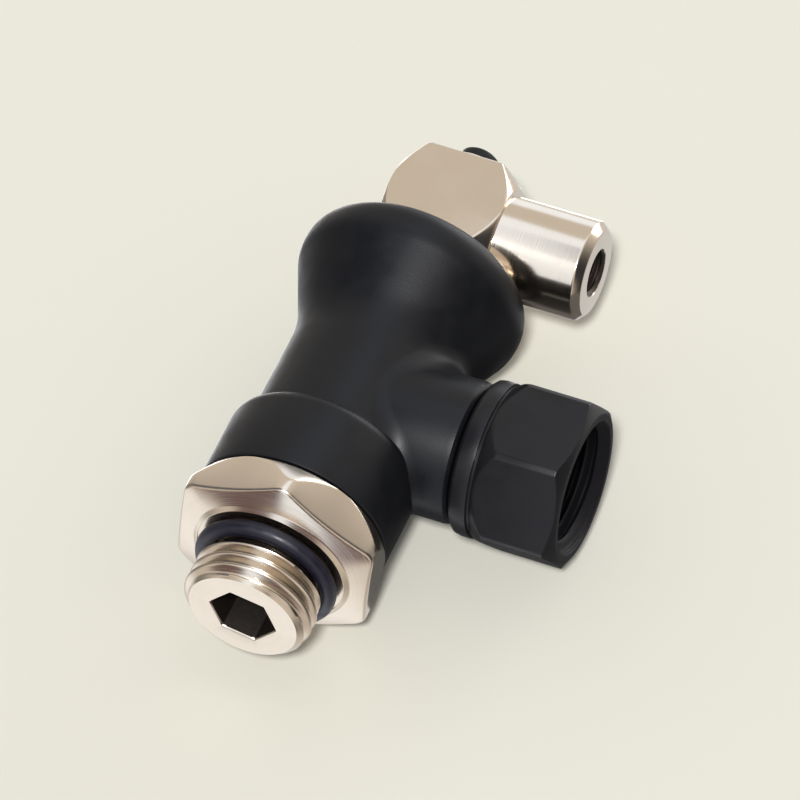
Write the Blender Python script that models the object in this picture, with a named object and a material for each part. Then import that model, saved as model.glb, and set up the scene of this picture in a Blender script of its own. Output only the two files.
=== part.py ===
"""Pilot-operated blocking valve with a G1/4 male stud, a G1/4 female side port and a swivelling pilot head.

The frame is the stud's: the origin lies on the stud's axis in the seat plane under the hexagon, +Z runs
up towards the pilot head, and the side port looks along +X. All lengths are in metres.
"""

from math import cos, hypot, pi, radians, sin, sqrt, tan

import bmesh
import bpy
from mathutils import Matrix

MM = 0.001

# Fits that the whole valve shares
SEAT_GAP = 0.3 * MM        # between pieces that bear on each other
RUNNING_GAP = 0.3 * MM     # around pieces that turn or slide in each other
ROUND = 36                 # flats round a turned piece
SMALL_ROUND = 24           # flats round the small and inner turned pieces
HOLE_ROUND = 16            # flats round a drilled hole
CORD_ROUND = 6             # flats round the cord of a seal ring
COIL_ROUND = 12            # points along each turn of a spring
COIL_CLOSED = 0.75         # turns that lie closed at each end of a spring
COIL_CLOSED_PITCH = 2.3    # rise of a closed turn, in wire radii

# Male stud: G1/4 thread, hexagon and the spigot that the body turns on
THREAD_R = 13.157 * MM / 2  # standard G1/4 outside diameter
THREAD_LENGTH = 6.7 * MM
THREAD_LEAD_IN = 0.9 * MM
KEY_FLATS = 6.0 * MM
KEY_DEPTH = 5.2 * MM
KEY_TURN = radians(12)
THROAT_R = 2.8 * MM
HEX_FLATS = 20.0 * MM
HEX_HEIGHT = 5.2 * MM
HEX_TURN = radians(-82)
HEX_CHAMFER = radians(30)
SEAT_RING_R = 8.9 * MM
SEAL_RECESS = 0.15 * MM
SPIGOT_R = 7.5 * MM
SPIGOT_LENGTH = 7.1 * MM
CHAMBER_WALL = 2.3 * MM
CHAMBER_FLOOR_Z = 1.0 * MM

# Seal rings, by the radius of their cord
STUD_SEAL_CORD = 0.85 * MM
SPIGOT_SEAL_CORD = 0.5 * MM
PORT_SEAL_CORD = 0.5 * MM
ROD_SEAL_CORD = 0.5 * MM
PISTON_SEAL_CORD = 0.55 * MM
COVER_SEAL_CORD = 0.6 * MM
HEAD_SEAL_CORD = 0.5 * MM

# Snap ring that holds the body on the spigot
CLIP_HEIGHT = 0.9 * MM
CLIP_RISE = 2.2 * MM       # above the hexagon
CLIP_BITE = 0.7 * MM       # how deep it reaches into the spigot and into the body
CLIP_OPENING = radians(40)

# Moulded body, outside
COLLAR_WALL = 2.2 * MM
COLLAR_HEIGHT = 9.0 * MM
COLLAR_EDGE = 1.6 * MM
COLLAR_EDGE_TURN = 75      # degrees of the edge's arc before it meets the neck
COLLAR_LEAD = 0.3 * MM
NECK_R = 8.5 * MM
FLARE_HEIGHT = 8.0 * MM
FLARE_BLEND = 1.0 * MM     # how far the flare's bend reaches up and down the neck
FLANGE_WALL = 2.1 * MM
FLANGE_LAND = 1.1 * MM
FLANGE_EDGE = 2.2 * MM     # height of the rounding from the widest ring to the top
FLANGE_EDGE_IN = 1.5 * MM

# Moulded body, inside
FLOW_CHAMBER_R = 6.3 * MM
FLOW_CHAMBER_HEIGHT = 8.6 * MM
WEB_THICKNESS = 3.7 * MM
CYLINDER_R = 7.4 * MM

# Side branch and the threaded port sleeve
BRANCH_WALL = 1.6 * MM
BRANCH_END_X = 13.5 * MM
BRANCH_FILLET = 2.2 * MM
BRANCH_EDGE = 0.6 * MM
PASSAGE_R = 3.3 * MM
SLEEVE_SPIGOT_R = 5.4 * MM
SLEEVE_SPIGOT_LENGTH = 4.4 * MM
SLEEVE_RING_R = 7.95 * MM
SLEEVE_RING_LENGTH = 2.3 * MM
SLEEVE_STEP = 0.3 * MM     # width and depth of the step between the ring and the hexagon
SLEEVE_HEX_START_R = 7.8 * MM
SLEEVE_FLATS = 16.0 * MM
SLEEVE_HEX_R = 9.05 * MM
SLEEVE_HEX_TURN = radians(1)
SLEEVE_HEX_LENGTH = 9.1 * MM
SLEEVE_CHAMFER = 1.4 * MM
SLEEVE_EDGE = 0.6 * MM     # rounding of the ring beside the branch
SLEEVE_END_INSET = 0.4 * MM  # from the flats to the end face
SLEEVE_END_CHAMFER = 0.85 * MM
PORT_THREAD_R = 11.445 * MM / 2  # standard G1/4 bore before threading
PORT_DEPTH = 9.4 * MM
PORT_LEAD_IN = 0.3 * MM

# Check valve: seat, poppet and the spring under it
SEAT_THICKNESS = 2.2 * MM
SEAT_NOSE = 0.4 * MM
SEAT_NOSE_LAND = 0.4 * MM  # width of the flat that the poppet's seal closes on
SEAT_NOSE_SLOPE = 0.3 * MM
SEAT_NOSE_INSET = 0.1 * MM  # how far the flat stays inside the seal's rim
SEAT_LEAD_OUT = 0.6 * MM
POPPET_CLEARANCE = 0.65 * MM  # room for the flow round the poppet
POPPET_SEAL_THICKNESS = 0.9 * MM
POPPET_RIM = 0.35 * MM
POPPET_RIM_DROP = 0.5 * MM  # how far the rim stays under the face of its seal
POPPET_FLOOR = 1.1 * MM
POPPET_BOSS_R = 1.2 * MM
POPPET_TAIL_R = 2.5 * MM
POPPET_TAIL = 1.2 * MM
POPPET_TAIL_EDGE = 0.3 * MM
POPPET_WIRE_R = 0.3 * MM
POPPET_COILS = 4.5

# Pilot piston, its rod and the guide in the web
STROKE = 2.5 * MM
ROD_R = 1.5 * MM
ROD_TIP_EDGE = 0.4 * MM
GUIDE_WALL = 2.4 * MM
GUIDE_FLANGE_RIM = 1.2 * MM
GUIDE_FLANGE = 0.8 * MM
PISTON_THICKNESS = 2.5 * MM
PISTON_HUB_R = 3.2 * MM
PISTON_HUB = 1.6 * MM
ROD_IN_PISTON = 2.8 * MM
PISTON_WIRE_R = 0.3 * MM
PISTON_COILS = 2.5

# Cover with the hollow spindle that carries the pilot head
COVER_RIM = 0.6 * MM
COVER_THICKNESS = 1.2 * MM
COVER_PLUG = 1.3 * MM
SPANNER_R = 0.8 * MM
SPANNER_DEPTH = 0.7 * MM
SPANNER_CIRCLE_R = 7.6 * MM
SPINDLE_R = 3.0 * MM
SPINDLE_SHOULDER_R = 4.4 * MM
SPINDLE_SHOULDER = 0.5 * MM  # lifts the pilot head clear of the cover
SPINDLE_BORE_R = 0.9 * MM
SPINDLE_PORT_R = 0.7 * MM
SPINDLE_WAIST = 0.7 * MM
SPINDLE_WAIST_HALF = 1.2 * MM  # half its height, round the cross hole
SPINDLE_EDGE = 0.3 * MM

# Pilot head, turned from square bar along X
HEAD_FLATS = 11.5 * MM
HEAD_BACK = 5.6 * MM
HEAD_SHOULDER = 6.4 * MM
HEAD_CHAMFER = radians(40)
HEAD_SHOULDER_CHAMFER = radians(45)
ARM_R = 5.15 * MM
ARM_LENGTH = 9.9 * MM
ARM_EDGE = 0.8 * MM
PILOT_PORT_R = 4.2 * MM / 2  # standard M5 bore before threading
PILOT_PORT_DEPTH = 6.0 * MM
PILOT_PORT_LEAD_IN = 0.25 * MM
PILOT_PASSAGE_R = 0.9 * MM
HEAD_SEAL_SPREAD = 3.4 * MM  # from the pilot axis to each seal of the spindle

# Snap ring and cap on the spindle's end
HEAD_CLIP_HEIGHT = 0.7 * MM
HEAD_CLIP_OUT = 0.9 * MM
HEAD_CLIP_IN = 0.5 * MM
SPINDLE_END = 0.8 * MM
CAP_R = 2.15 * MM
CAP_HEIGHT = 1.3 * MM
CAP_STEM_R = 1.0 * MM
CAP_STEM = 1.4 * MM
CAP_EDGE = 0.45 * MM

# Radii that follow from a neighbour
STUD_SEAL_R = THREAD_R + STUD_SEAL_CORD
CHAMBER_R = SPIGOT_R - CHAMBER_WALL
SOCKET_R = SPIGOT_R + RUNNING_GAP
COLLAR_R = SOCKET_R + COLLAR_WALL
POPPET_R = CHAMBER_R - POPPET_CLEARANCE
POPPET_SEAL_R = POPPET_R - POPPET_RIM - SEAT_GAP
SEAT_NOSE_R = POPPET_SEAL_R - SEAT_NOSE_INSET
SEAT_BORE_R = SEAT_NOSE_R - SEAT_NOSE_LAND
GUIDE_BORE_R = ROD_R + RUNNING_GAP
GUIDE_R = GUIDE_BORE_R + GUIDE_WALL
GUIDE_FLANGE_R = GUIDE_R + GUIDE_FLANGE_RIM
PISTON_R = CYLINDER_R - RUNNING_GAP
PISTON_SPRING_R = GUIDE_FLANGE_R + RUNNING_GAP + PISTON_WIRE_R
COVER_PLUG_R = CYLINDER_R - SEAT_GAP
COVER_SEAL_R = COVER_PLUG_R + SEAT_GAP + 2 * COVER_SEAL_CORD
COVER_FLANGE_R = COVER_SEAL_R + SEAT_GAP + COVER_RIM
FLANGE_R = COVER_FLANGE_R + SEAT_GAP + FLANGE_WALL
BRANCH_R = SLEEVE_SPIGOT_R + SEAT_GAP + BRANCH_WALL
SLEEVE_END_R = SLEEVE_FLATS / 2 - SLEEVE_END_INSET

# Heights that follow from the stack of pieces, from the seat plane upwards
BODY_BOTTOM_Z = HEX_HEIGHT + RUNNING_GAP
SPIGOT_TOP_Z = HEX_HEIGHT + SPIGOT_LENGTH
CLIP_Z = HEX_HEIGHT + CLIP_RISE
SPIGOT_SEAL_Z = SPIGOT_TOP_Z - 2 * SPIGOT_SEAL_CORD - SEAT_GAP
SEAT_BOTTOM_Z = SPIGOT_TOP_Z + SEAT_GAP
SEAT_TOP_Z = SEAT_BOTTOM_Z + SEAT_THICKNESS
SHOULDER_Z = SEAT_TOP_Z + SEAT_GAP
BRANCH_Z = SHOULDER_Z + FLOW_CHAMBER_HEIGHT / 2
WEB_BOTTOM_Z = SHOULDER_Z + FLOW_CHAMBER_HEIGHT
CYLINDER_FLOOR_Z = WEB_BOTTOM_Z + WEB_THICKNESS
POPPET_FACE_Z = SEAT_BOTTOM_Z - SEAT_NOSE - SEAT_GAP
POPPET_SEAL_BOTTOM_Z = POPPET_FACE_Z - POPPET_SEAL_THICKNESS
POPPET_FLOOR_TOP_Z = POPPET_SEAL_BOTTOM_Z - SEAT_GAP
POPPET_FLOOR_Z = POPPET_FLOOR_TOP_Z - POPPET_FLOOR
ROD_TIP_Z = POPPET_FACE_Z + SEAT_GAP
GUIDE_TOP_Z = CYLINDER_FLOOR_Z + SEAT_GAP + GUIDE_FLANGE
HUB_BOTTOM_Z = GUIDE_TOP_Z + RUNNING_GAP + STROKE
PISTON_BOTTOM_Z = HUB_BOTTOM_Z + PISTON_HUB
PISTON_TOP_Z = PISTON_BOTTOM_Z + PISTON_THICKNESS
COVER_PLUG_Z = PISTON_TOP_Z + RUNNING_GAP
COVER_BOTTOM_Z = COVER_PLUG_Z + COVER_PLUG
COVER_SEAL_Z = COVER_BOTTOM_Z - SEAT_GAP - COVER_SEAL_CORD
BODY_TOP_Z = COVER_BOTTOM_Z + COVER_THICKNESS
COLLAR_TOP_Z = BODY_BOTTOM_Z + COLLAR_HEIGHT
FLANGE_Z = BODY_TOP_Z - FLANGE_EDGE - FLANGE_LAND
FLARE_Z = FLANGE_Z - FLARE_HEIGHT
SHOULDER_TOP_Z = BODY_TOP_Z + SPINDLE_SHOULDER
HEAD_BOTTOM_Z = SHOULDER_TOP_Z + RUNNING_GAP
PILOT_Z = HEAD_BOTTOM_Z + HEAD_FLATS / 2
HEAD_TOP_Z = HEAD_BOTTOM_Z + HEAD_FLATS
HEAD_CLIP_Z = HEAD_TOP_Z + RUNNING_GAP
SPINDLE_GROOVE_TOP_Z = HEAD_CLIP_Z + HEAD_CLIP_HEIGHT + SEAT_GAP
SPINDLE_TOP_Z = SPINDLE_GROOVE_TOP_Z + SPINDLE_END
CAP_Z = SPINDLE_TOP_Z + SEAT_GAP

# Places along the side port's axis
SLEEVE_X = BRANCH_END_X + SEAT_GAP
SLEEVE_SPIGOT_X = SLEEVE_X - SLEEVE_SPIGOT_LENGTH
PORT_SEAL_X = SLEEVE_X - SLEEVE_SPIGOT_LENGTH / 2
SLEEVE_HEX_X = SLEEVE_X + SLEEVE_RING_LENGTH
SLEEVE_END_X = SLEEVE_HEX_X + SLEEVE_HEX_LENGTH
ARM_END_X = HEAD_SHOULDER + ARM_LENGTH

BEYOND = 0.5 * MM          # how far a cutting tool reaches past the face that it opens


def clear_scene():
    """Remove the objects that the scene starts with."""
    for item in list(bpy.data.objects):
        bpy.data.objects.remove(item, do_unlink=True)


def finish_material(name, colour, roughness, metallic):
    """A Principled material with one plain colour."""
    made = bpy.data.materials.new(name)
    made.use_nodes = True
    shader = made.node_tree.nodes["Principled BSDF"]
    shader.inputs["Base Color"].default_value = (*colour, 1.0)
    shader.inputs["Roughness"].default_value = roughness
    shader.inputs["Metallic"].default_value = metallic
    return made


def joint_frame(name, height, parent=None):
    """An empty on the valve's axis that the pieces of one moving body hang from."""
    empty = bpy.data.objects.new(name, None)
    bpy.context.scene.collection.objects.link(empty)
    empty.parent = parent
    empty.location = (0, 0, height - (parent.matrix_world.translation.z if parent else 0))
    bpy.context.view_layer.update()
    return empty


def place(item, frame, where):
    """Hang an object from a joint frame without moving it from its place in the world."""
    item.parent = frame
    item.matrix_parent_inverse = frame.matrix_world.inverted()
    item.matrix_world = where


def along_x(height):
    """The placement that lays a piece modelled along +Z on a +X axis at a height."""
    return Matrix.Translation((0, 0, height)) @ Matrix.Rotation(pi / 2, 4, "Y")


def mesh_object(name, bm, where=None):
    """Turn a bmesh into a linked object with its faces pointing out."""
    bmesh.ops.remove_doubles(bm, verts=bm.verts, dist=1e-6)
    bmesh.ops.dissolve_degenerate(bm, edges=bm.edges, dist=1e-7)
    bmesh.ops.recalc_face_normals(bm, faces=bm.faces)
    mesh = bpy.data.meshes.new(name)
    bm.to_mesh(mesh)
    bm.free()
    item = bpy.data.objects.new(name, mesh)
    bpy.context.scene.collection.objects.link(item)
    item.matrix_world = where or Matrix.Identity(4)
    return item


def turned(name, profile, flats=ROUND, sweep=2 * pi, where=None):
    """Spin a closed outline of (radius, height) points round the Z axis."""
    bm = bmesh.new()
    ring = [bm.verts.new((radius, 0, height)) for radius, height in profile]
    edges = []
    for start, end in zip(ring, ring[1:] + ring[:1]):
        if start.co.x > 0 or end.co.x > 0:
            edges.append(bm.edges.new((start, end)))
    closed = sweep > 2 * pi - 1e-6
    bmesh.ops.spin(bm, geom=ring + edges, cent=(0, 0, 0), axis=(0, 0, 1), angle=sweep,
                   steps=round(flats), use_merge=closed)
    if not closed:
        bmesh.ops.holes_fill(bm, edges=[edge for edge in bm.edges if edge.is_boundary], sides=0)
    return mesh_object(name, bm, where)


def prism(name, flats_apart, low, high, turn, sides=6, where=None):
    """A regular prism along Z, with one corner at the angle turn from +X."""
    bm = bmesh.new()
    radius = flats_apart / 2 / cos(pi / sides)
    angles = [turn + 2 * pi * index / sides for index in range(sides)]
    corners = [bm.verts.new((radius * cos(angle), radius * sin(angle), low)) for angle in angles]
    base = bm.faces.new(corners)
    raised = bmesh.ops.extrude_face_region(bm, geom=[base])["geom"]
    moved = [part for part in raised if isinstance(part, bmesh.types.BMVert)]
    bmesh.ops.translate(bm, verts=moved, vec=(0, 0, high - low))
    return mesh_object(name, bm, where)


def rounded_top(inner_r, run, low, rise, steps):
    """Points of a quarter ellipse in an outline, from just above its outer side up to its top."""
    angles = [pi / 2 * index / steps for index in range(1, steps + 1)]
    return [(inner_r + run * cos(angle), low + rise * sin(angle)) for angle in angles]


def arc(centre, radius, start, end, steps):
    """Points of an arc in an outline, from one angle to another, in degrees."""
    points = []
    for index in range(steps + 1):
        angle = radians(start + (end - start) * index / steps)
        points.append((centre[0] + radius * cos(angle), centre[1] + radius * sin(angle)))
    return points


def combine(item, tool, operation):
    """Add a Boolean step to an object and keep its tool as a hidden guide."""
    step = item.modifiers.new(operation.lower(), "BOOLEAN")
    step.operation = operation
    step.solver = "EXACT"
    step.object = tool
    tool.hide_render = True
    tool.display_type = "WIRE"
    tool.parent = item.parent
    return item


def dress(item, frame, made, sharp=35):
    """Give a piece its material, its smooth shading and its place under a joint frame."""
    item.data.materials.clear()
    item.data.materials.append(made)
    item.data.shade_smooth()
    item.data.set_sharp_from_angle(angle=radians(sharp))
    place(item, frame, item.matrix_world.copy())
    return item


def seal_ring(name, frame, made, outer_r, cord_r, centre_z, where=None):
    """A rubber ring of round cord, by its outer radius."""
    middle = outer_r - cord_r
    outline = arc((middle, centre_z), cord_r, 0, 360 - 360 / CORD_ROUND, CORD_ROUND - 1)
    return dress(turned(name, outline, SMALL_ROUND, where=where), frame, made, sharp=80)


def shaft_groove(shaft_r, cord_r, centre_z):
    """A shaft's outline through the square groove for a ring of round cord as wide as the shaft."""
    half = cord_r + SEAT_GAP
    floor_r = shaft_r - 2 * cord_r - SEAT_GAP
    return [
        (shaft_r, centre_z - half),
        (floor_r, centre_z - half),
        (floor_r, centre_z + half),
        (shaft_r, centre_z + half),
    ]


def spring(name, frame, made, mean_r, wire_r, low, high, coils):
    """A compression spring of round wire with closed ends, between two heights."""
    end_pitch = COIL_CLOSED_PITCH * wire_r
    travel = high - low - 2 * wire_r
    open_rise = travel - 2 * COIL_CLOSED * end_pitch
    total = round(coils * COIL_ROUND)
    curve = bpy.data.curves.new(name, "CURVE")
    curve.dimensions = "3D"
    curve.bevel_depth = wire_r
    curve.bevel_resolution = 1
    curve.use_fill_caps = True
    line = curve.splines.new("POLY")
    line.points.add(total)
    for index in range(total + 1):
        turn = coils * index / total
        height = end_pitch * min(turn, COIL_CLOSED)
        height += open_rise * min(max((turn - COIL_CLOSED) / (coils - 2 * COIL_CLOSED), 0), 1)
        height += end_pitch * max(turn - (coils - COIL_CLOSED), 0)
        angle = 2 * pi * turn
        line.points[index].co = (mean_r * cos(angle), mean_r * sin(angle), low + wire_r + height, 1)
    item = bpy.data.objects.new(name, curve)
    bpy.context.scene.collection.objects.link(item)
    curve.materials.append(made)
    place(item, frame, Matrix.Identity(4))
    return item


def make_male_stud(frame, made):
    """Hexagon stud turned from bar: thread below the hexagon, spigot with two grooves above it."""
    corner_r = HEX_FLATS / 2 / cos(pi / 6)
    chamfer = (corner_r - SEAT_RING_R) * tan(HEX_CHAMFER)
    top_chamfer = (corner_r - HEX_FLATS / 2) * tan(HEX_CHAMFER)
    stud = prism("male_stud", HEX_FLATS, 0, HEX_HEIGHT, HEX_TURN)
    envelope = turned("stud_hex_envelope", [
        (0, -BEYOND),
        (SEAT_RING_R - BEYOND / tan(HEX_CHAMFER), -BEYOND),
        (SEAT_RING_R, 0),
        (corner_r + BEYOND, chamfer + BEYOND * tan(HEX_CHAMFER)),
        (corner_r + BEYOND, HEX_HEIGHT - top_chamfer - BEYOND * tan(HEX_CHAMFER)),
        (HEX_FLATS / 2 - BEYOND, HEX_HEIGHT + BEYOND * tan(HEX_CHAMFER)),
        (0, HEX_HEIGHT + BEYOND * tan(HEX_CHAMFER)),
    ], ROUND)
    combine(stud, envelope, "INTERSECT")

    relief_r = STUD_SEAL_R - 2 * STUD_SEAL_CORD - SEAT_GAP
    relief_z = -2 * STUD_SEAL_CORD - SEAT_GAP
    clip_low = CLIP_Z - SEAT_GAP
    clip_high = CLIP_Z + CLIP_HEIGHT + SEAT_GAP
    clip_r = SPIGOT_R - CLIP_BITE - SEAT_GAP
    core = turned("stud_core", [
        (0, -THREAD_LENGTH),
        (THREAD_R - THREAD_LEAD_IN, -THREAD_LENGTH),
        (THREAD_R, -THREAD_LENGTH + THREAD_LEAD_IN),
        (THREAD_R, relief_z - (THREAD_R - relief_r) / 2),
        (relief_r, relief_z),
        (relief_r, HEX_HEIGHT / 2),
        (SPIGOT_R, HEX_HEIGHT / 2),
        (SPIGOT_R, clip_low),
        (clip_r, clip_low),
        (clip_r, clip_high),
        (SPIGOT_R, clip_high),
        *shaft_groove(SPIGOT_R, SPIGOT_SEAL_CORD, SPIGOT_SEAL_Z),
        (SPIGOT_R, SPIGOT_TOP_Z),
        (0, SPIGOT_TOP_Z),
    ])
    combine(stud, core, "UNION")
    recess = turned("stud_seal_recess", [
        (relief_r, -BEYOND),
        (STUD_SEAL_R + SEAT_GAP, -BEYOND),
        (STUD_SEAL_R + SEAT_GAP, SEAL_RECESS),
        (relief_r, SEAL_RECESS),
    ])
    combine(stud, recess, "DIFFERENCE")
    bore = turned("stud_bore", [
        (0, -THREAD_LENGTH + KEY_DEPTH - BEYOND),
        (THROAT_R, -THREAD_LENGTH + KEY_DEPTH - BEYOND),
        (THROAT_R, CHAMBER_FLOOR_Z),
        (CHAMBER_R, CHAMBER_FLOOR_Z),
        (CHAMBER_R, SPIGOT_TOP_Z + BEYOND),
        (0, SPIGOT_TOP_Z + BEYOND),
    ])
    combine(stud, bore, "DIFFERENCE")
    key = prism("stud_key_socket", KEY_FLATS, -THREAD_LENGTH - BEYOND, -THREAD_LENGTH + KEY_DEPTH, KEY_TURN)
    combine(stud, key, "DIFFERENCE")
    dress(stud, frame, made)


def make_stud_seals(frame, rubber):
    """The captive ring under the hexagon and the ring that seals the swivel."""
    seal_ring("stud_seal_ring", frame, rubber, STUD_SEAL_R, STUD_SEAL_CORD, SEAL_RECESS - SEAT_GAP
              - STUD_SEAL_CORD)
    seal_ring("spigot_o_ring", frame, rubber, SPIGOT_R, SPIGOT_SEAL_CORD, SPIGOT_SEAL_Z)


def open_ring(name, frame, made, inner_r, outer_r, low, height, opening):
    """A snap ring of flat wire, open on the side away from the port."""
    outline = [(inner_r, low), (outer_r, low), (outer_r, low + height), (inner_r, low + height)]
    turn = Matrix.Rotation(pi + opening / 2, 4, "Z")
    sweep = 2 * pi - opening
    ring = turned(name, outline, ROUND * sweep / (2 * pi), sweep, turn)
    dress(ring, frame, made)


def make_valve_body(frame, made):
    """Moulded body: collar, neck, flared flange and side branch, bored from both ends and the side."""
    slope = (FLANGE_R - NECK_R) / FLARE_HEIGHT
    body = turned("valve_body", [
        (0, BODY_BOTTOM_Z),
        (COLLAR_R - COLLAR_LEAD, BODY_BOTTOM_Z),
        (COLLAR_R, BODY_BOTTOM_Z + COLLAR_LEAD),
        *arc((COLLAR_R - COLLAR_EDGE, COLLAR_TOP_Z - COLLAR_EDGE), COLLAR_EDGE, 0,
             COLLAR_EDGE_TURN, 4),
        (NECK_R, COLLAR_TOP_Z),
        (NECK_R, FLARE_Z - FLARE_BLEND),
        (NECK_R + slope * FLARE_BLEND / 4, FLARE_Z),
        (NECK_R + slope * FLARE_BLEND, FLARE_Z + FLARE_BLEND),
        (FLANGE_R - slope * FLARE_BLEND, FLANGE_Z - FLARE_BLEND),
        (FLANGE_R - slope * FLARE_BLEND / 4, FLANGE_Z),
        (FLANGE_R, FLANGE_Z + FLANGE_LAND),
        *rounded_top(FLANGE_R - FLANGE_EDGE_IN, FLANGE_EDGE_IN, BODY_TOP_Z - FLANGE_EDGE, FLANGE_EDGE, 3),
        (0, BODY_TOP_Z),
    ])
    branch = turned("body_branch", [
        (0, FLOW_CHAMBER_R / 2),
        (BRANCH_R + BRANCH_FILLET, FLOW_CHAMBER_R / 2),
        *[(BRANCH_R + BRANCH_FILLET - radius, height) for radius, height in
          arc((0, NECK_R - SEAT_GAP + BRANCH_FILLET), BRANCH_FILLET, -90, 0, 4)],
        (BRANCH_R, BRANCH_END_X - BRANCH_EDGE),
        (BRANCH_R - BRANCH_EDGE, BRANCH_END_X),
        (0, BRANCH_END_X),
    ], where=along_x(BRANCH_Z))
    for vertex in branch.data.vertices:
        reach = hypot(vertex.co.x, vertex.co.y)
        if reach > BRANCH_R + 1e-6:
            vertex.co.y *= BRANCH_R / reach
            flared = (reach - BRANCH_R) / BRANCH_FILLET
            vertex.co.z -= flared * (NECK_R - sqrt(NECK_R ** 2 - vertex.co.y ** 2))
    combine(body, branch, "UNION")

    clip_low = CLIP_Z - SEAT_GAP
    clip_high = CLIP_Z + CLIP_HEIGHT + SEAT_GAP
    clip_r = SOCKET_R + CLIP_BITE + SEAT_GAP
    pocket_r = COVER_SEAL_R + SEAT_GAP
    pocket_z = COVER_SEAL_Z - COVER_SEAL_CORD - SEAT_GAP
    bore = turned("body_bore", [
        (0, BODY_BOTTOM_Z - BEYOND),
        (SOCKET_R, BODY_BOTTOM_Z - BEYOND),
        (SOCKET_R, clip_low),
        (clip_r, clip_low),
        (clip_r, clip_high),
        (SOCKET_R, clip_high),
        (SOCKET_R, SHOULDER_Z),
        (FLOW_CHAMBER_R, SHOULDER_Z),
        (FLOW_CHAMBER_R, WEB_BOTTOM_Z),
        (GUIDE_R + SEAT_GAP, WEB_BOTTOM_Z),
        (GUIDE_R + SEAT_GAP, CYLINDER_FLOOR_Z),
        (CYLINDER_R, CYLINDER_FLOOR_Z),
        (CYLINDER_R, pocket_z),
        (pocket_r, pocket_z),
        (pocket_r, COVER_BOTTOM_Z - SEAT_GAP),
        (COVER_FLANGE_R + SEAT_GAP, COVER_BOTTOM_Z - SEAT_GAP),
        (COVER_FLANGE_R + SEAT_GAP, BODY_TOP_Z + BEYOND),
        (0, BODY_TOP_Z + BEYOND),
    ])
    combine(body, bore, "DIFFERENCE")
    socket_floor = SLEEVE_SPIGOT_X - SEAT_GAP
    side = turned("body_side_bore", [
        (0, FLOW_CHAMBER_R / 2),
        (PASSAGE_R, FLOW_CHAMBER_R / 2),
        (PASSAGE_R, socket_floor),
        (SLEEVE_SPIGOT_R + SEAT_GAP, socket_floor),
        (SLEEVE_SPIGOT_R + SEAT_GAP, BRANCH_END_X + BEYOND),
        (0, BRANCH_END_X + BEYOND),
    ], where=along_x(BRANCH_Z))
    combine(body, side, "DIFFERENCE")
    dress(body, frame, made)


def make_port_sleeve(frame, made, rubber):
    """Threaded sleeve of the side port: plugged into the branch, round ring, then a turned hexagon."""
    axis = along_x(BRANCH_Z)
    sleeve = prism("port_sleeve", SLEEVE_FLATS, SLEEVE_HEX_X, SLEEVE_END_X, SLEEVE_HEX_TURN, where=axis)
    envelope = turned("sleeve_envelope", [
        (0, SLEEVE_HEX_X - BEYOND),
        (SLEEVE_HEX_START_R, SLEEVE_HEX_X - BEYOND),
        (SLEEVE_HEX_START_R, SLEEVE_HEX_X),
        (SLEEVE_HEX_R, SLEEVE_HEX_X + SLEEVE_CHAMFER),
        (SLEEVE_HEX_R, SLEEVE_END_X - SLEEVE_END_CHAMFER),
        (SLEEVE_END_R, SLEEVE_END_X),
        (SLEEVE_END_R, SLEEVE_END_X + BEYOND),
        (0, SLEEVE_END_X + BEYOND),
    ], where=axis)
    combine(sleeve, envelope, "INTERSECT")
    core = turned("sleeve_core", [
        (0, SLEEVE_SPIGOT_X),
        (SLEEVE_SPIGOT_R, SLEEVE_SPIGOT_X),
        *shaft_groove(SLEEVE_SPIGOT_R, PORT_SEAL_CORD, PORT_SEAL_X),
        (SLEEVE_SPIGOT_R, SLEEVE_X),
        *arc((SLEEVE_RING_R - SLEEVE_EDGE, SLEEVE_X + SLEEVE_EDGE), SLEEVE_EDGE, -90, 0, 3),
        (SLEEVE_RING_R, SLEEVE_HEX_X - SLEEVE_STEP),
        (SLEEVE_RING_R - SLEEVE_STEP, SLEEVE_HEX_X - SLEEVE_STEP),
        (SLEEVE_RING_R - SLEEVE_STEP, SLEEVE_HEX_X + SLEEVE_STEP),
        (0, SLEEVE_HEX_X + SLEEVE_STEP),
    ], where=axis)
    combine(sleeve, core, "UNION")
    bore = turned("sleeve_bore", [
        (0, SLEEVE_SPIGOT_X - BEYOND),
        (PASSAGE_R, SLEEVE_SPIGOT_X - BEYOND),
        (PASSAGE_R, SLEEVE_END_X - PORT_DEPTH - (PORT_THREAD_R - PASSAGE_R) / 2),
        (PORT_THREAD_R, SLEEVE_END_X - PORT_DEPTH),
        (PORT_THREAD_R, SLEEVE_END_X - PORT_LEAD_IN),
        (PORT_THREAD_R + PORT_LEAD_IN, SLEEVE_END_X),
        (PORT_THREAD_R + PORT_LEAD_IN, SLEEVE_END_X + BEYOND),
        (0, SLEEVE_END_X + BEYOND),
    ], where=axis)
    combine(sleeve, bore, "DIFFERENCE")
    dress(sleeve, frame, made)
    seal_ring("port_o_ring", frame, rubber, SLEEVE_SPIGOT_R, PORT_SEAL_CORD, PORT_SEAL_X, axis)


def make_check_seat(frame, made):
    """Ring clamped between the spigot and the body's shoulder, with a nose that the poppet closes on."""
    dress(turned("check_seat", [
        (SEAT_BORE_R, SEAT_BOTTOM_Z - SEAT_NOSE),
        (SEAT_NOSE_R, SEAT_BOTTOM_Z - SEAT_NOSE),
        (SEAT_NOSE_R + SEAT_NOSE_SLOPE, SEAT_BOTTOM_Z),
        (SPIGOT_R, SEAT_BOTTOM_Z),
        (SPIGOT_R, SEAT_TOP_Z),
        (SEAT_BORE_R + SEAT_LEAD_OUT, SEAT_TOP_Z),
        (SEAT_BORE_R, SEAT_TOP_Z - SEAT_LEAD_OUT),
    ]), frame, made)


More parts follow.
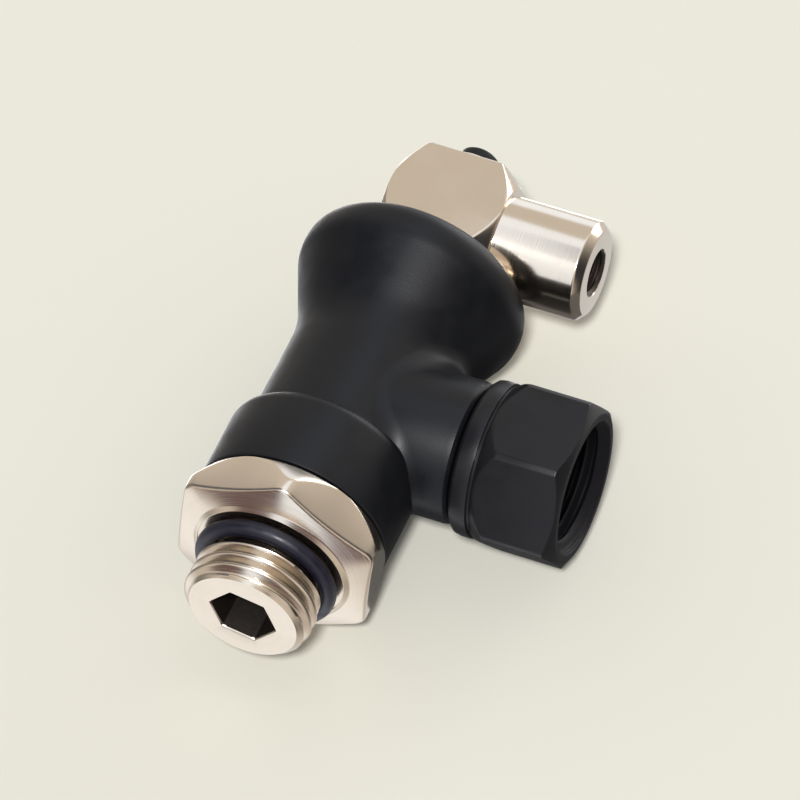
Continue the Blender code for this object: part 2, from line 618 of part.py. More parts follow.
def make_poppet(frame, stud_frame, brass, rubber, steel):
    """Cup-shaped poppet with a rubber face, on a spring in the stud's chamber."""
    tail_z = POPPET_FLOOR_Z - POPPET_TAIL
    dress(turned("check_poppet", [
        (0, tail_z),
        (POPPET_TAIL_R - POPPET_TAIL_EDGE, tail_z),
        (POPPET_TAIL_R, tail_z + POPPET_TAIL_EDGE),
        (POPPET_TAIL_R, POPPET_FLOOR_Z),
        (POPPET_R, POPPET_FLOOR_Z),
        (POPPET_R, POPPET_FACE_Z - POPPET_RIM_DROP),
        (POPPET_R - POPPET_RIM, POPPET_FACE_Z - POPPET_RIM_DROP),
        (POPPET_R - POPPET_RIM, POPPET_FLOOR_TOP_Z),
        (POPPET_BOSS_R, POPPET_FLOOR_TOP_Z),
        (POPPET_BOSS_R, POPPET_FACE_Z),
        (0, POPPET_FACE_Z),
    ], SMALL_ROUND), frame, brass)
    dress(turned("poppet_seal", [
        (POPPET_BOSS_R + SEAT_GAP, POPPET_SEAL_BOTTOM_Z),
        (POPPET_SEAL_R, POPPET_SEAL_BOTTOM_Z),
        (POPPET_SEAL_R, POPPET_FACE_Z),
        (POPPET_BOSS_R + SEAT_GAP, POPPET_FACE_Z),
    ], SMALL_ROUND), frame, rubber)
    spring("poppet_spring", stud_frame, steel, POPPET_TAIL_R + SEAT_GAP + POPPET_WIRE_R, POPPET_WIRE_R,
           CHAMBER_FLOOR_Z + SEAT_GAP, POPPET_FLOOR_Z - SEAT_GAP, POPPET_COILS)


def make_rod_guide(frame, brass, rubber):
    """Flanged bush pressed into the web, with an inside groove for the rod's seal."""
    ring_outer = GUIDE_BORE_R + 2 * ROD_SEAL_CORD
    middle = (WEB_BOTTOM_Z + CYLINDER_FLOOR_Z) / 2
    half = ROD_SEAL_CORD + SEAT_GAP
    dress(turned("rod_guide", [
        (GUIDE_BORE_R, WEB_BOTTOM_Z),
        (GUIDE_R, WEB_BOTTOM_Z),
        (GUIDE_R, CYLINDER_FLOOR_Z + SEAT_GAP),
        (GUIDE_FLANGE_R, CYLINDER_FLOOR_Z + SEAT_GAP),
        (GUIDE_FLANGE_R, GUIDE_TOP_Z),
        (GUIDE_BORE_R, GUIDE_TOP_Z),
        (GUIDE_BORE_R, middle + half),
        (ring_outer + SEAT_GAP, middle + half),
        (ring_outer + SEAT_GAP, middle - half),
        (GUIDE_BORE_R, middle - half),
    ], SMALL_ROUND), frame, brass)
    seal_ring("rod_seal", frame, rubber, ring_outer, ROD_SEAL_CORD, middle)


def make_piston(frame, body_frame, brass, rubber, steel):
    """Pilot piston with its ring, the rod fixed in its hub, and the spring that lifts it."""
    ring_z = PISTON_TOP_Z - PISTON_THICKNESS / 2
    socket_r = ROD_R + SEAT_GAP
    rod_top = HUB_BOTTOM_Z + ROD_IN_PISTON
    dress(turned("pilot_piston", [
        (socket_r, HUB_BOTTOM_Z),
        (PISTON_HUB_R, HUB_BOTTOM_Z),
        (PISTON_HUB_R, PISTON_BOTTOM_Z),
        (PISTON_R, PISTON_BOTTOM_Z),
        *shaft_groove(PISTON_R, PISTON_SEAL_CORD, ring_z),
        (PISTON_R, PISTON_TOP_Z),
        (0, PISTON_TOP_Z),
        (0, rod_top + SEAT_GAP),
        (socket_r, rod_top + SEAT_GAP),
    ]), frame, brass)
    seal_ring("piston_seal", frame, rubber, PISTON_R, PISTON_SEAL_CORD, ring_z)
    dress(turned("piston_rod", [
        (0, ROD_TIP_Z),
        (ROD_R - ROD_TIP_EDGE, ROD_TIP_Z),
        (ROD_R, ROD_TIP_Z + ROD_TIP_EDGE),
        (ROD_R, rod_top),
        (0, rod_top),
    ], SMALL_ROUND), frame, steel)
    spring("piston_spring", body_frame, steel, PISTON_SPRING_R, PISTON_WIRE_R,
           CYLINDER_FLOOR_Z + SEAT_GAP, PISTON_BOTTOM_Z - SEAT_GAP, PISTON_COILS)


def make_pilot_cover(frame, made, rubber):
    """Screwed-in cover with the hollow spindle, cross-drilled where the pilot head feeds it."""
    waist_r = SPINDLE_R - SPINDLE_WAIST
    clip_r = SPINDLE_R - HEAD_CLIP_IN - SEAT_GAP
    cover = turned("pilot_cover", [
        (0, COVER_PLUG_Z),
        (COVER_PLUG_R, COVER_PLUG_Z),
        (COVER_PLUG_R, COVER_BOTTOM_Z),
        (COVER_FLANGE_R, COVER_BOTTOM_Z),
        (COVER_FLANGE_R, BODY_TOP_Z - SPINDLE_EDGE),
        (COVER_FLANGE_R - SPINDLE_EDGE, BODY_TOP_Z),
        (SPINDLE_SHOULDER_R, BODY_TOP_Z),
        (SPINDLE_SHOULDER_R, SHOULDER_TOP_Z),
        (SPINDLE_R, SHOULDER_TOP_Z),
        *shaft_groove(SPINDLE_R, HEAD_SEAL_CORD, PILOT_Z - HEAD_SEAL_SPREAD),
        (SPINDLE_R, PILOT_Z - SPINDLE_WAIST_HALF),
        (waist_r, PILOT_Z - SPINDLE_WAIST_HALF),
        (waist_r, PILOT_Z + SPINDLE_WAIST_HALF),
        (SPINDLE_R, PILOT_Z + SPINDLE_WAIST_HALF),
        *shaft_groove(SPINDLE_R, HEAD_SEAL_CORD, PILOT_Z + HEAD_SEAL_SPREAD),
        (SPINDLE_R, HEAD_TOP_Z),
        (clip_r, HEAD_TOP_Z),
        (clip_r, SPINDLE_GROOVE_TOP_Z),
        (SPINDLE_R, SPINDLE_GROOVE_TOP_Z),
        (SPINDLE_R, SPINDLE_TOP_Z - SPINDLE_EDGE),
        (SPINDLE_R - SPINDLE_EDGE, SPINDLE_TOP_Z),
        (CAP_STEM_R + SEAT_GAP, SPINDLE_TOP_Z),
        (CAP_STEM_R + SEAT_GAP, SPINDLE_TOP_Z - CAP_STEM),
        (0, SPINDLE_TOP_Z - CAP_STEM),
    ], SMALL_ROUND)
    bore = turned("cover_bore", [
        (0, COVER_PLUG_Z - BEYOND),
        (SPINDLE_BORE_R, COVER_PLUG_Z - BEYOND),
        (SPINDLE_BORE_R, PILOT_Z + SPINDLE_PORT_R),
        (0, PILOT_Z + SPINDLE_PORT_R + SPINDLE_BORE_R / 2),
    ], HOLE_ROUND)
    combine(cover, bore, "DIFFERENCE")
    cross = turned("cover_cross_hole", [
        (0, -SPINDLE_R),
        (SPINDLE_PORT_R, -SPINDLE_R),
        (SPINDLE_PORT_R, SPINDLE_R),
        (0, SPINDLE_R),
    ], HOLE_ROUND, where=along_x(PILOT_Z))
    combine(cover, cross, "DIFFERENCE")
    for side in (-1, 1):
        hole = turned(f"cover_spanner_hole_{side}", [
            (0, BODY_TOP_Z - SPANNER_DEPTH),
            (SPANNER_R, BODY_TOP_Z - SPANNER_DEPTH),
            (SPANNER_R, BODY_TOP_Z + BEYOND),
            (0, BODY_TOP_Z + BEYOND),
        ], HOLE_ROUND, where=Matrix.Translation((0, side * SPANNER_CIRCLE_R, 0)))
        combine(cover, hole, "DIFFERENCE")
    dress(cover, frame, made)
    seal_ring("cover_o_ring", frame, rubber, COVER_SEAL_R, COVER_SEAL_CORD, COVER_SEAL_Z)
    for name, side in (("head_lower_o_ring", -1), ("head_upper_o_ring", 1)):
        seal_ring(name, frame, rubber, SPINDLE_R, HEAD_SEAL_CORD, PILOT_Z + side * HEAD_SEAL_SPREAD)


def make_pilot_head(frame, made):
    """Swivelling elbow turned from square bar: chamfered block, round arm and the drilled pilot port."""
    half = HEAD_FLATS / 2
    reach = half * 2 ** 0.5 + BEYOND
    axis = along_x(PILOT_Z)
    head = prism("pilot_head", HEAD_FLATS, -HEAD_BACK, HEAD_SHOULDER, pi / 4, 4, axis)
    envelope = turned("head_envelope", [
        (0, -HEAD_BACK - BEYOND),
        (half - BEYOND / tan(HEAD_CHAMFER), -HEAD_BACK - BEYOND),
        (reach, -HEAD_BACK + (reach - half) * tan(HEAD_CHAMFER)),
        (reach, HEAD_SHOULDER - (reach - half) * tan(HEAD_SHOULDER_CHAMFER)),
        (half - BEYOND / tan(HEAD_SHOULDER_CHAMFER), HEAD_SHOULDER + BEYOND),
        (0, HEAD_SHOULDER + BEYOND),
    ], where=axis)
    combine(head, envelope, "INTERSECT")
    arm = turned("head_arm", [
        (0, 0),
        (ARM_R, 0),
        (ARM_R, ARM_END_X - ARM_EDGE),
        (ARM_R - ARM_EDGE, ARM_END_X),
        (0, ARM_END_X),
    ], where=axis)
    combine(head, arm, "UNION")
    port = turned("head_port", [
        (0, SPINDLE_R / 2),
        (PILOT_PASSAGE_R, SPINDLE_R / 2),
        (PILOT_PASSAGE_R, ARM_END_X - PILOT_PORT_DEPTH),
        (PILOT_PORT_R, ARM_END_X - PILOT_PORT_DEPTH + PILOT_PORT_LEAD_IN),
        (PILOT_PORT_R, ARM_END_X - PILOT_PORT_LEAD_IN),
        (PILOT_PORT_R + PILOT_PORT_LEAD_IN, ARM_END_X),
        (PILOT_PORT_R + PILOT_PORT_LEAD_IN, ARM_END_X + BEYOND),
        (0, ARM_END_X + BEYOND),
    ], SMALL_ROUND, where=axis)
    combine(head, port, "DIFFERENCE")
    bore = turned("head_bore", [
        (0, HEAD_BOTTOM_Z - BEYOND),
        (SPINDLE_R + RUNNING_GAP, HEAD_BOTTOM_Z - BEYOND),
        (SPINDLE_R + RUNNING_GAP, HEAD_TOP_Z + BEYOND),
        (0, HEAD_TOP_Z + BEYOND),
    ], SMALL_ROUND)
    combine(head, bore, "DIFFERENCE")
    dress(head, frame, made)


def make_spindle_cap(frame, made):
    """Moulded cap pushed into the spindle's end."""
    dress(turned("spindle_cap", [
        (0, CAP_Z - CAP_STEM),
        (CAP_STEM_R, CAP_Z - CAP_STEM),
        (CAP_STEM_R, CAP_Z),
        (CAP_R, CAP_Z),
        *arc((CAP_R - CAP_EDGE, CAP_Z + CAP_HEIGHT - CAP_EDGE), CAP_EDGE, 0, 90, 3),
        (0, CAP_Z + CAP_HEIGHT),
    ], SMALL_ROUND), frame, made)


def build_valve():
    """Make every piece under the frame of the body that it moves with."""
    clear_scene()
    plated = finish_material("nickel_plated_brass", (0.76, 0.68, 0.57), 0.25, 1.0)
    polymer = finish_material("black_polymer", (0.022, 0.023, 0.026), 0.45, 0.0)
    rubber = finish_material("nitrile_rubber", (0.012, 0.012, 0.018), 0.5, 0.0)
    brass = finish_material("turned_brass", (0.80, 0.62, 0.30), 0.3, 1.0)
    steel = finish_material("spring_steel", (0.55, 0.55, 0.56), 0.3, 1.0)
    black_steel = finish_material("blackened_steel", (0.05, 0.05, 0.055), 0.4, 1.0)

    stud_frame = joint_frame("stud_frame", 0)
    swivel_frame = joint_frame("body_swivel_frame", BODY_BOTTOM_Z, stud_frame)
    poppet_frame = joint_frame("poppet_slide_frame", POPPET_FACE_Z, stud_frame)
    piston_frame = joint_frame("piston_slide_frame", PISTON_TOP_Z, swivel_frame)
    head_frame = joint_frame("head_swivel_frame", HEAD_BOTTOM_Z, swivel_frame)

    make_male_stud(stud_frame, plated)
    make_stud_seals(stud_frame, rubber)
    make_poppet(poppet_frame, stud_frame, brass, rubber, steel)
    make_valve_body(swivel_frame, polymer)
    open_ring("swivel_clip", swivel_frame, steel, SPIGOT_R - CLIP_BITE, SOCKET_R + CLIP_BITE, CLIP_Z,
              CLIP_HEIGHT, CLIP_OPENING)
    make_check_seat(swivel_frame, brass)
    make_rod_guide(swivel_frame, brass, rubber)
    make_piston(piston_frame, swivel_frame, brass, rubber, steel)
    make_port_sleeve(swivel_frame, polymer, rubber)
    make_pilot_cover(swivel_frame, plated, rubber)
    make_pilot_head(head_frame, plated)
    open_ring("head_clip", swivel_frame, black_steel, SPINDLE_R - HEAD_CLIP_IN, SPINDLE_R + HEAD_CLIP_OUT,
              HEAD_CLIP_Z, HEAD_CLIP_HEIGHT, CLIP_OPENING)
    make_spindle_cap(swivel_frame, polymer)


build_valve()
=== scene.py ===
"""Looks of the blocking valve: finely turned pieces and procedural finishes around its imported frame."""

from math import atan2, ceil, cos, pi, radians, sin, sqrt, tan

import bmesh
import bpy
from mathutils import Matrix, Vector


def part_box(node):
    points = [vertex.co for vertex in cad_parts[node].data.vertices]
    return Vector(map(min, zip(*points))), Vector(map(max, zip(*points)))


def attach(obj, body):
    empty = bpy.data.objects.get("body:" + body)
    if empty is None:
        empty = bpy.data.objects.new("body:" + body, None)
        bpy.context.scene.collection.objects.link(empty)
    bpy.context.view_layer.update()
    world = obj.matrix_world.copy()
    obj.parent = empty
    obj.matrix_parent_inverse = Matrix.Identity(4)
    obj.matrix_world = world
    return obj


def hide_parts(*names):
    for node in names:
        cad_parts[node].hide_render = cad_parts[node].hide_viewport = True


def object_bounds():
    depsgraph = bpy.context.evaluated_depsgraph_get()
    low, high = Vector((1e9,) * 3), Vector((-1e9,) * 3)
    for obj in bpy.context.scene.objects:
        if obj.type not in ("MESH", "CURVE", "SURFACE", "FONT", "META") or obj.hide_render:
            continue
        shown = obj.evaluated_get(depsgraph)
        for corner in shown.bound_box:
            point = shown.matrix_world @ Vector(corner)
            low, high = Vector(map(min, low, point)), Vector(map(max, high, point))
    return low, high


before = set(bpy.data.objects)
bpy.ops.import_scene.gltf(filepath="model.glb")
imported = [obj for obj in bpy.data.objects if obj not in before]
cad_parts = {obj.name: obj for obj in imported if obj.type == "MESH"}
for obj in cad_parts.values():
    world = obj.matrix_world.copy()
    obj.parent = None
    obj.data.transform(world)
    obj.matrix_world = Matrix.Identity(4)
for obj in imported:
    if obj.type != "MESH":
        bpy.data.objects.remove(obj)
cad_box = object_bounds()

# Camera: it looks up at the valve from beside the stud's end, as in the photograph.
# Its place and its axes come from laying the valve's edges over the photograph.
MM = 0.001
CAMERA_PLACE = Vector((217.63, -631.25, -413.53)) * MM
VIEW_RIGHT = Vector((0.9218, 0.0455, 0.3850))
VIEW_UP = Vector((-0.2801, -0.6084, 0.7426))
VIEW_BACK = VIEW_RIGHT.cross(VIEW_UP)
CAMERA_LENS = 363.15
SENSOR_WIDTH = 36.0

camera_data = bpy.data.cameras.new("photo_camera")
camera_data.lens = CAMERA_LENS
camera_data.sensor_width = SENSOR_WIDTH
camera_data.clip_start = 10 * MM
camera_data.clip_end = 10000 * MM
camera = bpy.data.objects.new("photo_camera", camera_data)
bpy.context.scene.collection.objects.link(camera)
view_axes = Matrix((VIEW_RIGHT, VIEW_UP, VIEW_BACK)).transposed().to_4x4()
camera.matrix_world = Matrix.Translation(CAMERA_PLACE) @ view_axes
bpy.context.scene.camera = camera
bpy.context.scene.view_settings.view_transform = "Standard"

# Backdrop and floor: the valve lies with its back on a pale sheet, and stands over a pale floor in the
# views from above. Neither is seen from its back, so that no view is blocked.
PALE = (0.831, 0.815, 0.716, 1.0)
SHEET_REACH = 900 * MM
SHEET_GAP = 0.1 * MM


def add(tree, kind, values=None, **settings):
    """Add a node, with its settings and the values or links of its sockets."""
    made = tree.nodes.new(kind)
    for name, value in settings.items():
        setattr(made, name, value)
    for socket, value in (values or {}).items():
        if isinstance(value, bpy.types.NodeSocket):
            tree.links.new(value, made.inputs[socket])
        else:
            made.inputs[socket].default_value = value
    return made


def flat_sheet(name, centre, right, up, colour=PALE):
    """A flat sheet that faces right x up and is clear from behind."""
    corners = [centre + a * right + b * up for a, b in ((-1, -1), (1, -1), (1, 1), (-1, 1))]
    mesh = bpy.data.meshes.new(name)
    mesh.from_pydata(corners, [], [(0, 1, 2, 3)])
    sheet = bpy.data.objects.new(name, mesh)
    bpy.context.scene.collection.objects.link(sheet)
    material = bpy.data.materials.new(name + "_paint")
    material.use_nodes = True
    tree = material.node_tree
    tree.nodes.clear()
    paint = add(tree, "ShaderNodeBsdfDiffuse", {"Color": colour})
    clear = add(tree, "ShaderNodeBsdfTransparent")
    behind = add(tree, "ShaderNodeNewGeometry").outputs["Backfacing"]
    mixed = add(tree, "ShaderNodeMixShader", {0: behind, 1: paint.outputs[0], 2: clear.outputs[0]})
    add(tree, "ShaderNodeOutputMaterial", {"Surface": mixed.outputs[0]})
    mesh.materials.append(material)
    sheet.visible_shadow = False
    return sheet


backdrop = flat_sheet("backdrop", Vector((0, cad_box[1].y + SHEET_GAP, 0)), Vector((SHEET_REACH, 0, 0)),
                      Vector((0, 0, SHEET_REACH)))
backdrop.visible_glossy = False
floor = flat_sheet("floor", Vector((0, 0, cad_box[0].z - SHEET_GAP)), Vector((SHEET_REACH, 0, 0)),
                   Vector((0, SHEET_REACH, 0)))
floor.visible_diffuse = False
floor.visible_glossy = False

# Dark card: a small grey sheet just before the backdrop, low behind the pilot head's arm. Nothing sees it
# but polished metal, and it keeps the underside of the arm dark.
DARK_GREY = (0.16, 0.16, 0.16, 1.0)
CARD_PLACE = Vector((25 * MM, cad_box[1].y + SHEET_GAP / 2, 25 * MM))
CARD_HALF_WIDTH = 20 * MM
CARD_HALF_HEIGHT = 19 * MM

dark_card = flat_sheet("dark_card", CARD_PLACE, Vector((CARD_HALF_WIDTH, 0, 0)),
                       Vector((0, 0, CARD_HALF_HEIGHT)), DARK_GREY)
dark_card.visible_camera = False
dark_card.visible_diffuse = False
dark_card.visible_transmission = False

# Light: a soft sun close beside the camera, a broad one from above, a weak one from behind, and a pale room
# all round. Polished metal mirrors a room of its own: a tall white panel in front with a dark bar across
# it, a white strip underneath and one overhead, dim sides, a pale sheet behind, and a brown table low down.
ROOM_LIGHT = (0.36, 0.36, 0.36, 1.0)
MIRRORED_ROOM = (0.75, 0.70, 0.64, 1.0)
MIRRORED_RIGHT = (0.04, 0.04, 0.045, 1.0)
MIRRORED_LEFT = (0.25, 0.24, 0.23, 1.0)
MIRRORED_SHEET_LOW = (1.18, 1.22, 1.28, 1.0)
MIRRORED_SHEET_HIGH = (0.72, 0.73, 0.75, 1.0)
MIRRORED_TABLE = (0.17, 0.115, 0.115, 1.0)
MIRRORED_PANEL = (1.20, 1.31, 1.48, 1.0)
MIRRORED_BAR = (0.12, 0.13, 0.16, 1.0)
RIGHT_LEAN = 0.45
PANEL_LEAN = 0.137
PANEL_TOP_LEAN = 0.8
KEY_FROM = -0.06 * VIEW_RIGHT + 0.06 * VIEW_UP + VIEW_BACK
KEY_STRENGTH = 2.3
KEY_SPREAD = radians(6)
TOP_FROM = Vector((0.35, -0.1, 1.0))
TOP_STRENGTH = 0.9
TOP_SPREAD = radians(40)
BACK_FROM = Vector((-0.6, 0.9, 1.0))
BACK_STRENGTH = 0.5
BACK_SPREAD = radians(30)


def soft_sun(name, direction, strength, spread):
    """A sun that shines from a direction."""
    light = bpy.data.lights.new(name, "SUN")
    light.energy = strength
    light.angle = spread
    holder = bpy.data.objects.new(name, light)
    bpy.context.scene.collection.objects.link(holder)
    holder.rotation_euler = direction.to_track_quat("Z", "Y").to_euler()


def slope(tree, value, start, end):
    """0 before one value and 1 after another, with a smooth rise between them."""
    rise = add(tree, "ShaderNodeMapRange", {0: value, 1: start, 2: end}, interpolation_type="SMOOTHSTEP")
    return rise.outputs[0]


def card(tree, under, colour, *edges):
    """Lay a soft-edged card over the room. An edge is a value, where it starts, where it is full."""
    cover = 1.0
    for value, begins, full in edges:
        edge = slope(tree, value, begins, full)
        cover = add(tree, "ShaderNodeMath", {0: cover, 1: edge}, operation="MULTIPLY").outputs[0]
    return add(tree, "ShaderNodeMix", {0: cover, 6: under, 7: colour}, data_type="RGBA").outputs[2]


def leaning(tree, value, other, share):
    """One direction less a share of another, for an edge that leans."""
    return add(tree, "ShaderNodeMath", {0: other, 1: -share, 2: value}, operation="MULTIPLY_ADD").outputs[0]


def mirrored_room(tree):
    """What polished surfaces mirror, by direction: +X is beside the port, -Y in front and +Z above."""
    direction = add(tree, "ShaderNodeTexCoord").outputs["Generated"]
    x, y, z = add(tree, "ShaderNodeSeparateXYZ", {0: direction}).outputs
    right = leaning(tree, x, z, RIGHT_LEAN)
    panel_side = leaning(tree, x, z, PANEL_LEAN)
    panel_top = leaning(tree, z, x, PANEL_TOP_LEAN)
    white_panel = ((x, -0.36, -0.27), (panel_side, 0.24, 0.14), (y, -0.52, -0.66), (panel_top, 0.64, 0.56))
    dark_bar = ((z, 0.16, 0.1), (z, -0.5, -0.42), (x, -0.12, -0.18), (y, -0.3, -0.5))
    strip_below = ((z, -0.66, -0.78), (x, -0.24, -0.16), (x, 0.1, 0.02), (y, 0.7, 0.55))
    strip_above = ((z, 0.93, 0.97), (x, -0.5, -0.4), (x, 0.3, 0.2), (y, 0.45, 0.3))
    table = ((z, -0.62, -0.76), (y, -0.5, -0.3), (y, 0.72, 0.58), (x, -0.72, -0.6), (x, 0.5, 0.4))
    room = card(tree, MIRRORED_ROOM, MIRRORED_RIGHT, (right, 0.27, 1.05), (z, -0.65, -0.35))
    room = card(tree, room, MIRRORED_LEFT, (x, -0.62, -0.92), (z, 0.7, 0.2), (z, -0.7, -0.35))
    room = card(tree, room, MIRRORED_SHEET_LOW, (y, 0.35, 0.6), (z, 0.1, -0.2), (x, 0.25, 0.0))
    room = card(tree, room, MIRRORED_SHEET_HIGH, (y, 0.35, 0.6), (z, -0.1, 0.2))
    room = card(tree, room, MIRRORED_TABLE, *table)
    room = card(tree, room, MIRRORED_PANEL, *strip_below)
    room = card(tree, room, MIRRORED_PANEL, *strip_above)
    room = card(tree, room, MIRRORED_PANEL, *white_panel)
    return card(tree, room, MIRRORED_BAR, *dark_bar)


soft_sun("key_light", KEY_FROM, KEY_STRENGTH, KEY_SPREAD)
soft_sun("top_light", TOP_FROM, TOP_STRENGTH, TOP_SPREAD)
soft_sun("back_light", BACK_FROM, BACK_STRENGTH, BACK_SPREAD)
room = bpy.data.worlds.new("pale_room")
bpy.context.scene.world = room
room.use_nodes = True
room_tree = room.node_tree
room_tree.nodes.clear()
path = add(room_tree, "ShaderNodeLightPath")
seen = add(room_tree, "ShaderNodeMath", {0: path.outputs["Is Camera Ray"],
                                         1: path.outputs["Is Transmission Ray"]}, operation="MAXIMUM")
lit = add(room_tree, "ShaderNodeBackground", {"Color": ROOM_LIGHT})
shown = add(room_tree, "ShaderNodeBackground", {"Color": PALE})
mirrored = add(room_tree, "ShaderNodeBackground", {"Color": mirrored_room(room_tree)})
both = add(room_tree, "ShaderNodeMixShader", {0: seen.outputs[0], 1: lit.outputs[0], 2: shown.outputs[0]})
glossy = add(room_tree, "ShaderNodeMixShader", {0: path.outputs["Is Glossy Ray"], 1: both.outputs[0],
                                                2: mirrored.outputs[0]})
add(room_tree, "ShaderNodeOutputWorld", {"Surface": glossy.outputs[0]})

# Male stud: turned from hexagon brass bar and nickel plated. Below the hexagon it has a pipe thread with
# a key socket in its end, and above it the spigot that the body swivels on, with its two grooves.
STUD_COLUMNS = 360
STUD_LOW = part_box("male_stud")[0].z / MM
STUD_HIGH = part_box("male_stud")[1].z / MM
THREAD_R = 13.157 / 2
THREAD_ROOT_R = 11.445 / 2
THREAD_PITCH = 1.337
THREAD_ROWS = 12
THREAD_STEEPNESS = 1.3
THREAD_LEAD_IN = 0.9
HEX_FLATS = 20.0
HEX_HEIGHT = 5.2
HEX_TURN = radians(-82)
HEX_ROUNDING = 1.8
HEX_UNDER_SLOPE = tan(radians(15.5))
HEX_TOP_SLOPE = tan(radians(62))
LIP_R = 7.8
LIP_WIDTH = 0.45
LIP_RISE = 0.36
KEY_FLATS = 6.0
KEY_DEPTH = 5.2
KEY_TURN = radians(12)
KEY_ROUNDING = 0.15
KEY_MOUTH_R = 3.6
THROAT_R = 2.8
SPIGOT_R = 7.5
CLIP_GROOVE_R = 6.5
CLIP_GROOVE_LOW = 7.1
CLIP_GROOVE_HIGH = 8.6
RING_GROOVE_R = 6.2
RING_GROOVE_LOW = 10.2
RING_GROOVE_HIGH = 11.8
CHAMBER_R = 5.2
CHAMBER_FLOOR = 1.0
SEAL_FLOOR_R = 5.43
SEAL_ROOF_R = 7.73
SEAL_RECESS = 0.15
SEAL_LOW = -2.0
NICKEL = (0.70, 0.60, 0.485, 1.0)
NICKEL_PALE = (0.76, 0.67, 0.56, 1.0)
NICKEL_ROUGHNESS = 0.2
# Painted shade: a dark nickel for the walls of the key socket and the pilot port.
BORE_SHADE_NICKEL = (0.09, 0.075, 0.065, 1.0)


def soften(corners, steps=3):
    """Round a closed outline's corners. A corner is its radius, its height and its rounding's reach."""
    points = []
    for index, (radius, height, rounding) in enumerate(corners):
        here = Vector((radius, height))
        if rounding == 0:
            points.append(here)
            continue
        before = Vector(corners[index - 1][:2]) - here
        after = Vector(corners[(index + 1) % len(corners)][:2]) - here
        start = here + before.normalized() * min(rounding, before.length / 2)
        end = here + after.normalized() * min(rounding, after.length / 2)
        for step in range(steps + 1):
            share = step / steps
            points.append(start.lerp(here, share).lerp(here.lerp(end, share), share))
    return points


def turned(name, outline_at, columns=96, first=0.0, where=Matrix.Identity(4)):
    """Carry an outline in millimetres round +Z. outline_at takes the angle and the share of the turn."""
    bm = bmesh.new()
    made = []
    for column in range(columns + 1):
        share = column / columns
        angle = first + 2 * pi * share
        points = soften(outline_at(angle, share))
        made.append([bm.verts.new((r * cos(angle) * MM, r * sin(angle) * MM, z * MM)) for r, z in points])
    for left, right in zip(made, made[1:]):
        for low in range(len(left)):
            high = (low + 1) % len(left)
            bm.faces.new((left[low], left[high], right[high], right[low]))
    bmesh.ops.remove_doubles(bm, verts=bm.verts, dist=1e-7)
    bmesh.ops.dissolve_degenerate(bm, edges=bm.edges, dist=1e-8)
    bmesh.ops.recalc_face_normals(bm, faces=bm.faces)
    bm.transform(where)
    mesh = bpy.data.meshes.new(name)
    bm.to_mesh(mesh)
    bm.free()
    item = bpy.data.objects.new(name, mesh)
    bpy.context.scene.collection.objects.link(item)
    return item


def polygon_radius(angle, flats, sides, corner, rounding):
    """Radius of a regular polygon at an angle, with one of its rounded corners at the angle corner."""
    half = pi / sides
    off = abs((angle - corner + half) % (2 * half) - half)
    centre = (flats / 2 - rounding) / cos(half)
    edge = atan2(rounding * sin(half), centre + rounding * cos(half))
    if off >= edge:
        return flats / 2 / cos(half - off)
    return centre * cos(off) + sqrt(rounding ** 2 - (centre * sin(off)) ** 2)


def thread_depth(phase):
    """How far a thread stands out at a share of its pitch: 1 on the crest and 0 in the root."""
    wave = abs(2 * (phase % 1) - 1)
    return min(max(THREAD_STEEPNESS * (wave - 0.5) + 0.5, 0), 1)


def thread_rows(low, high, pitch, share):
    """Heights of rows that climb one pitch in a turn, each with how far the thread stands out there."""
    step = pitch / THREAD_ROWS
    rows = []
    for row in range(ceil((high - low) / step) + THREAD_ROWS + 1):
        height = min(max(low + (row - THREAD_ROWS * (1 - share)) * step, low), high)
        rows.append((height, thread_depth((height - low) / pitch - share)))
    return rows


def stud_thread(share):
    """The stud's thread, cut off by its lead-in at the end and by the seal's groove under the hexagon."""
    points = []
    for height, depth in thread_rows(STUD_LOW, SEAL_LOW, THREAD_PITCH, share):
        radius = THREAD_ROOT_R + depth * (THREAD_R - THREAD_ROOT_R)
        lead_in = THREAD_R - THREAD_LEAD_IN + (height - STUD_LOW)
        run_out = SEAL_FLOOR_R + 2 * (SEAL_LOW - height)
        points.append((min(radius, lead_in, run_out), height, 0))
    return points


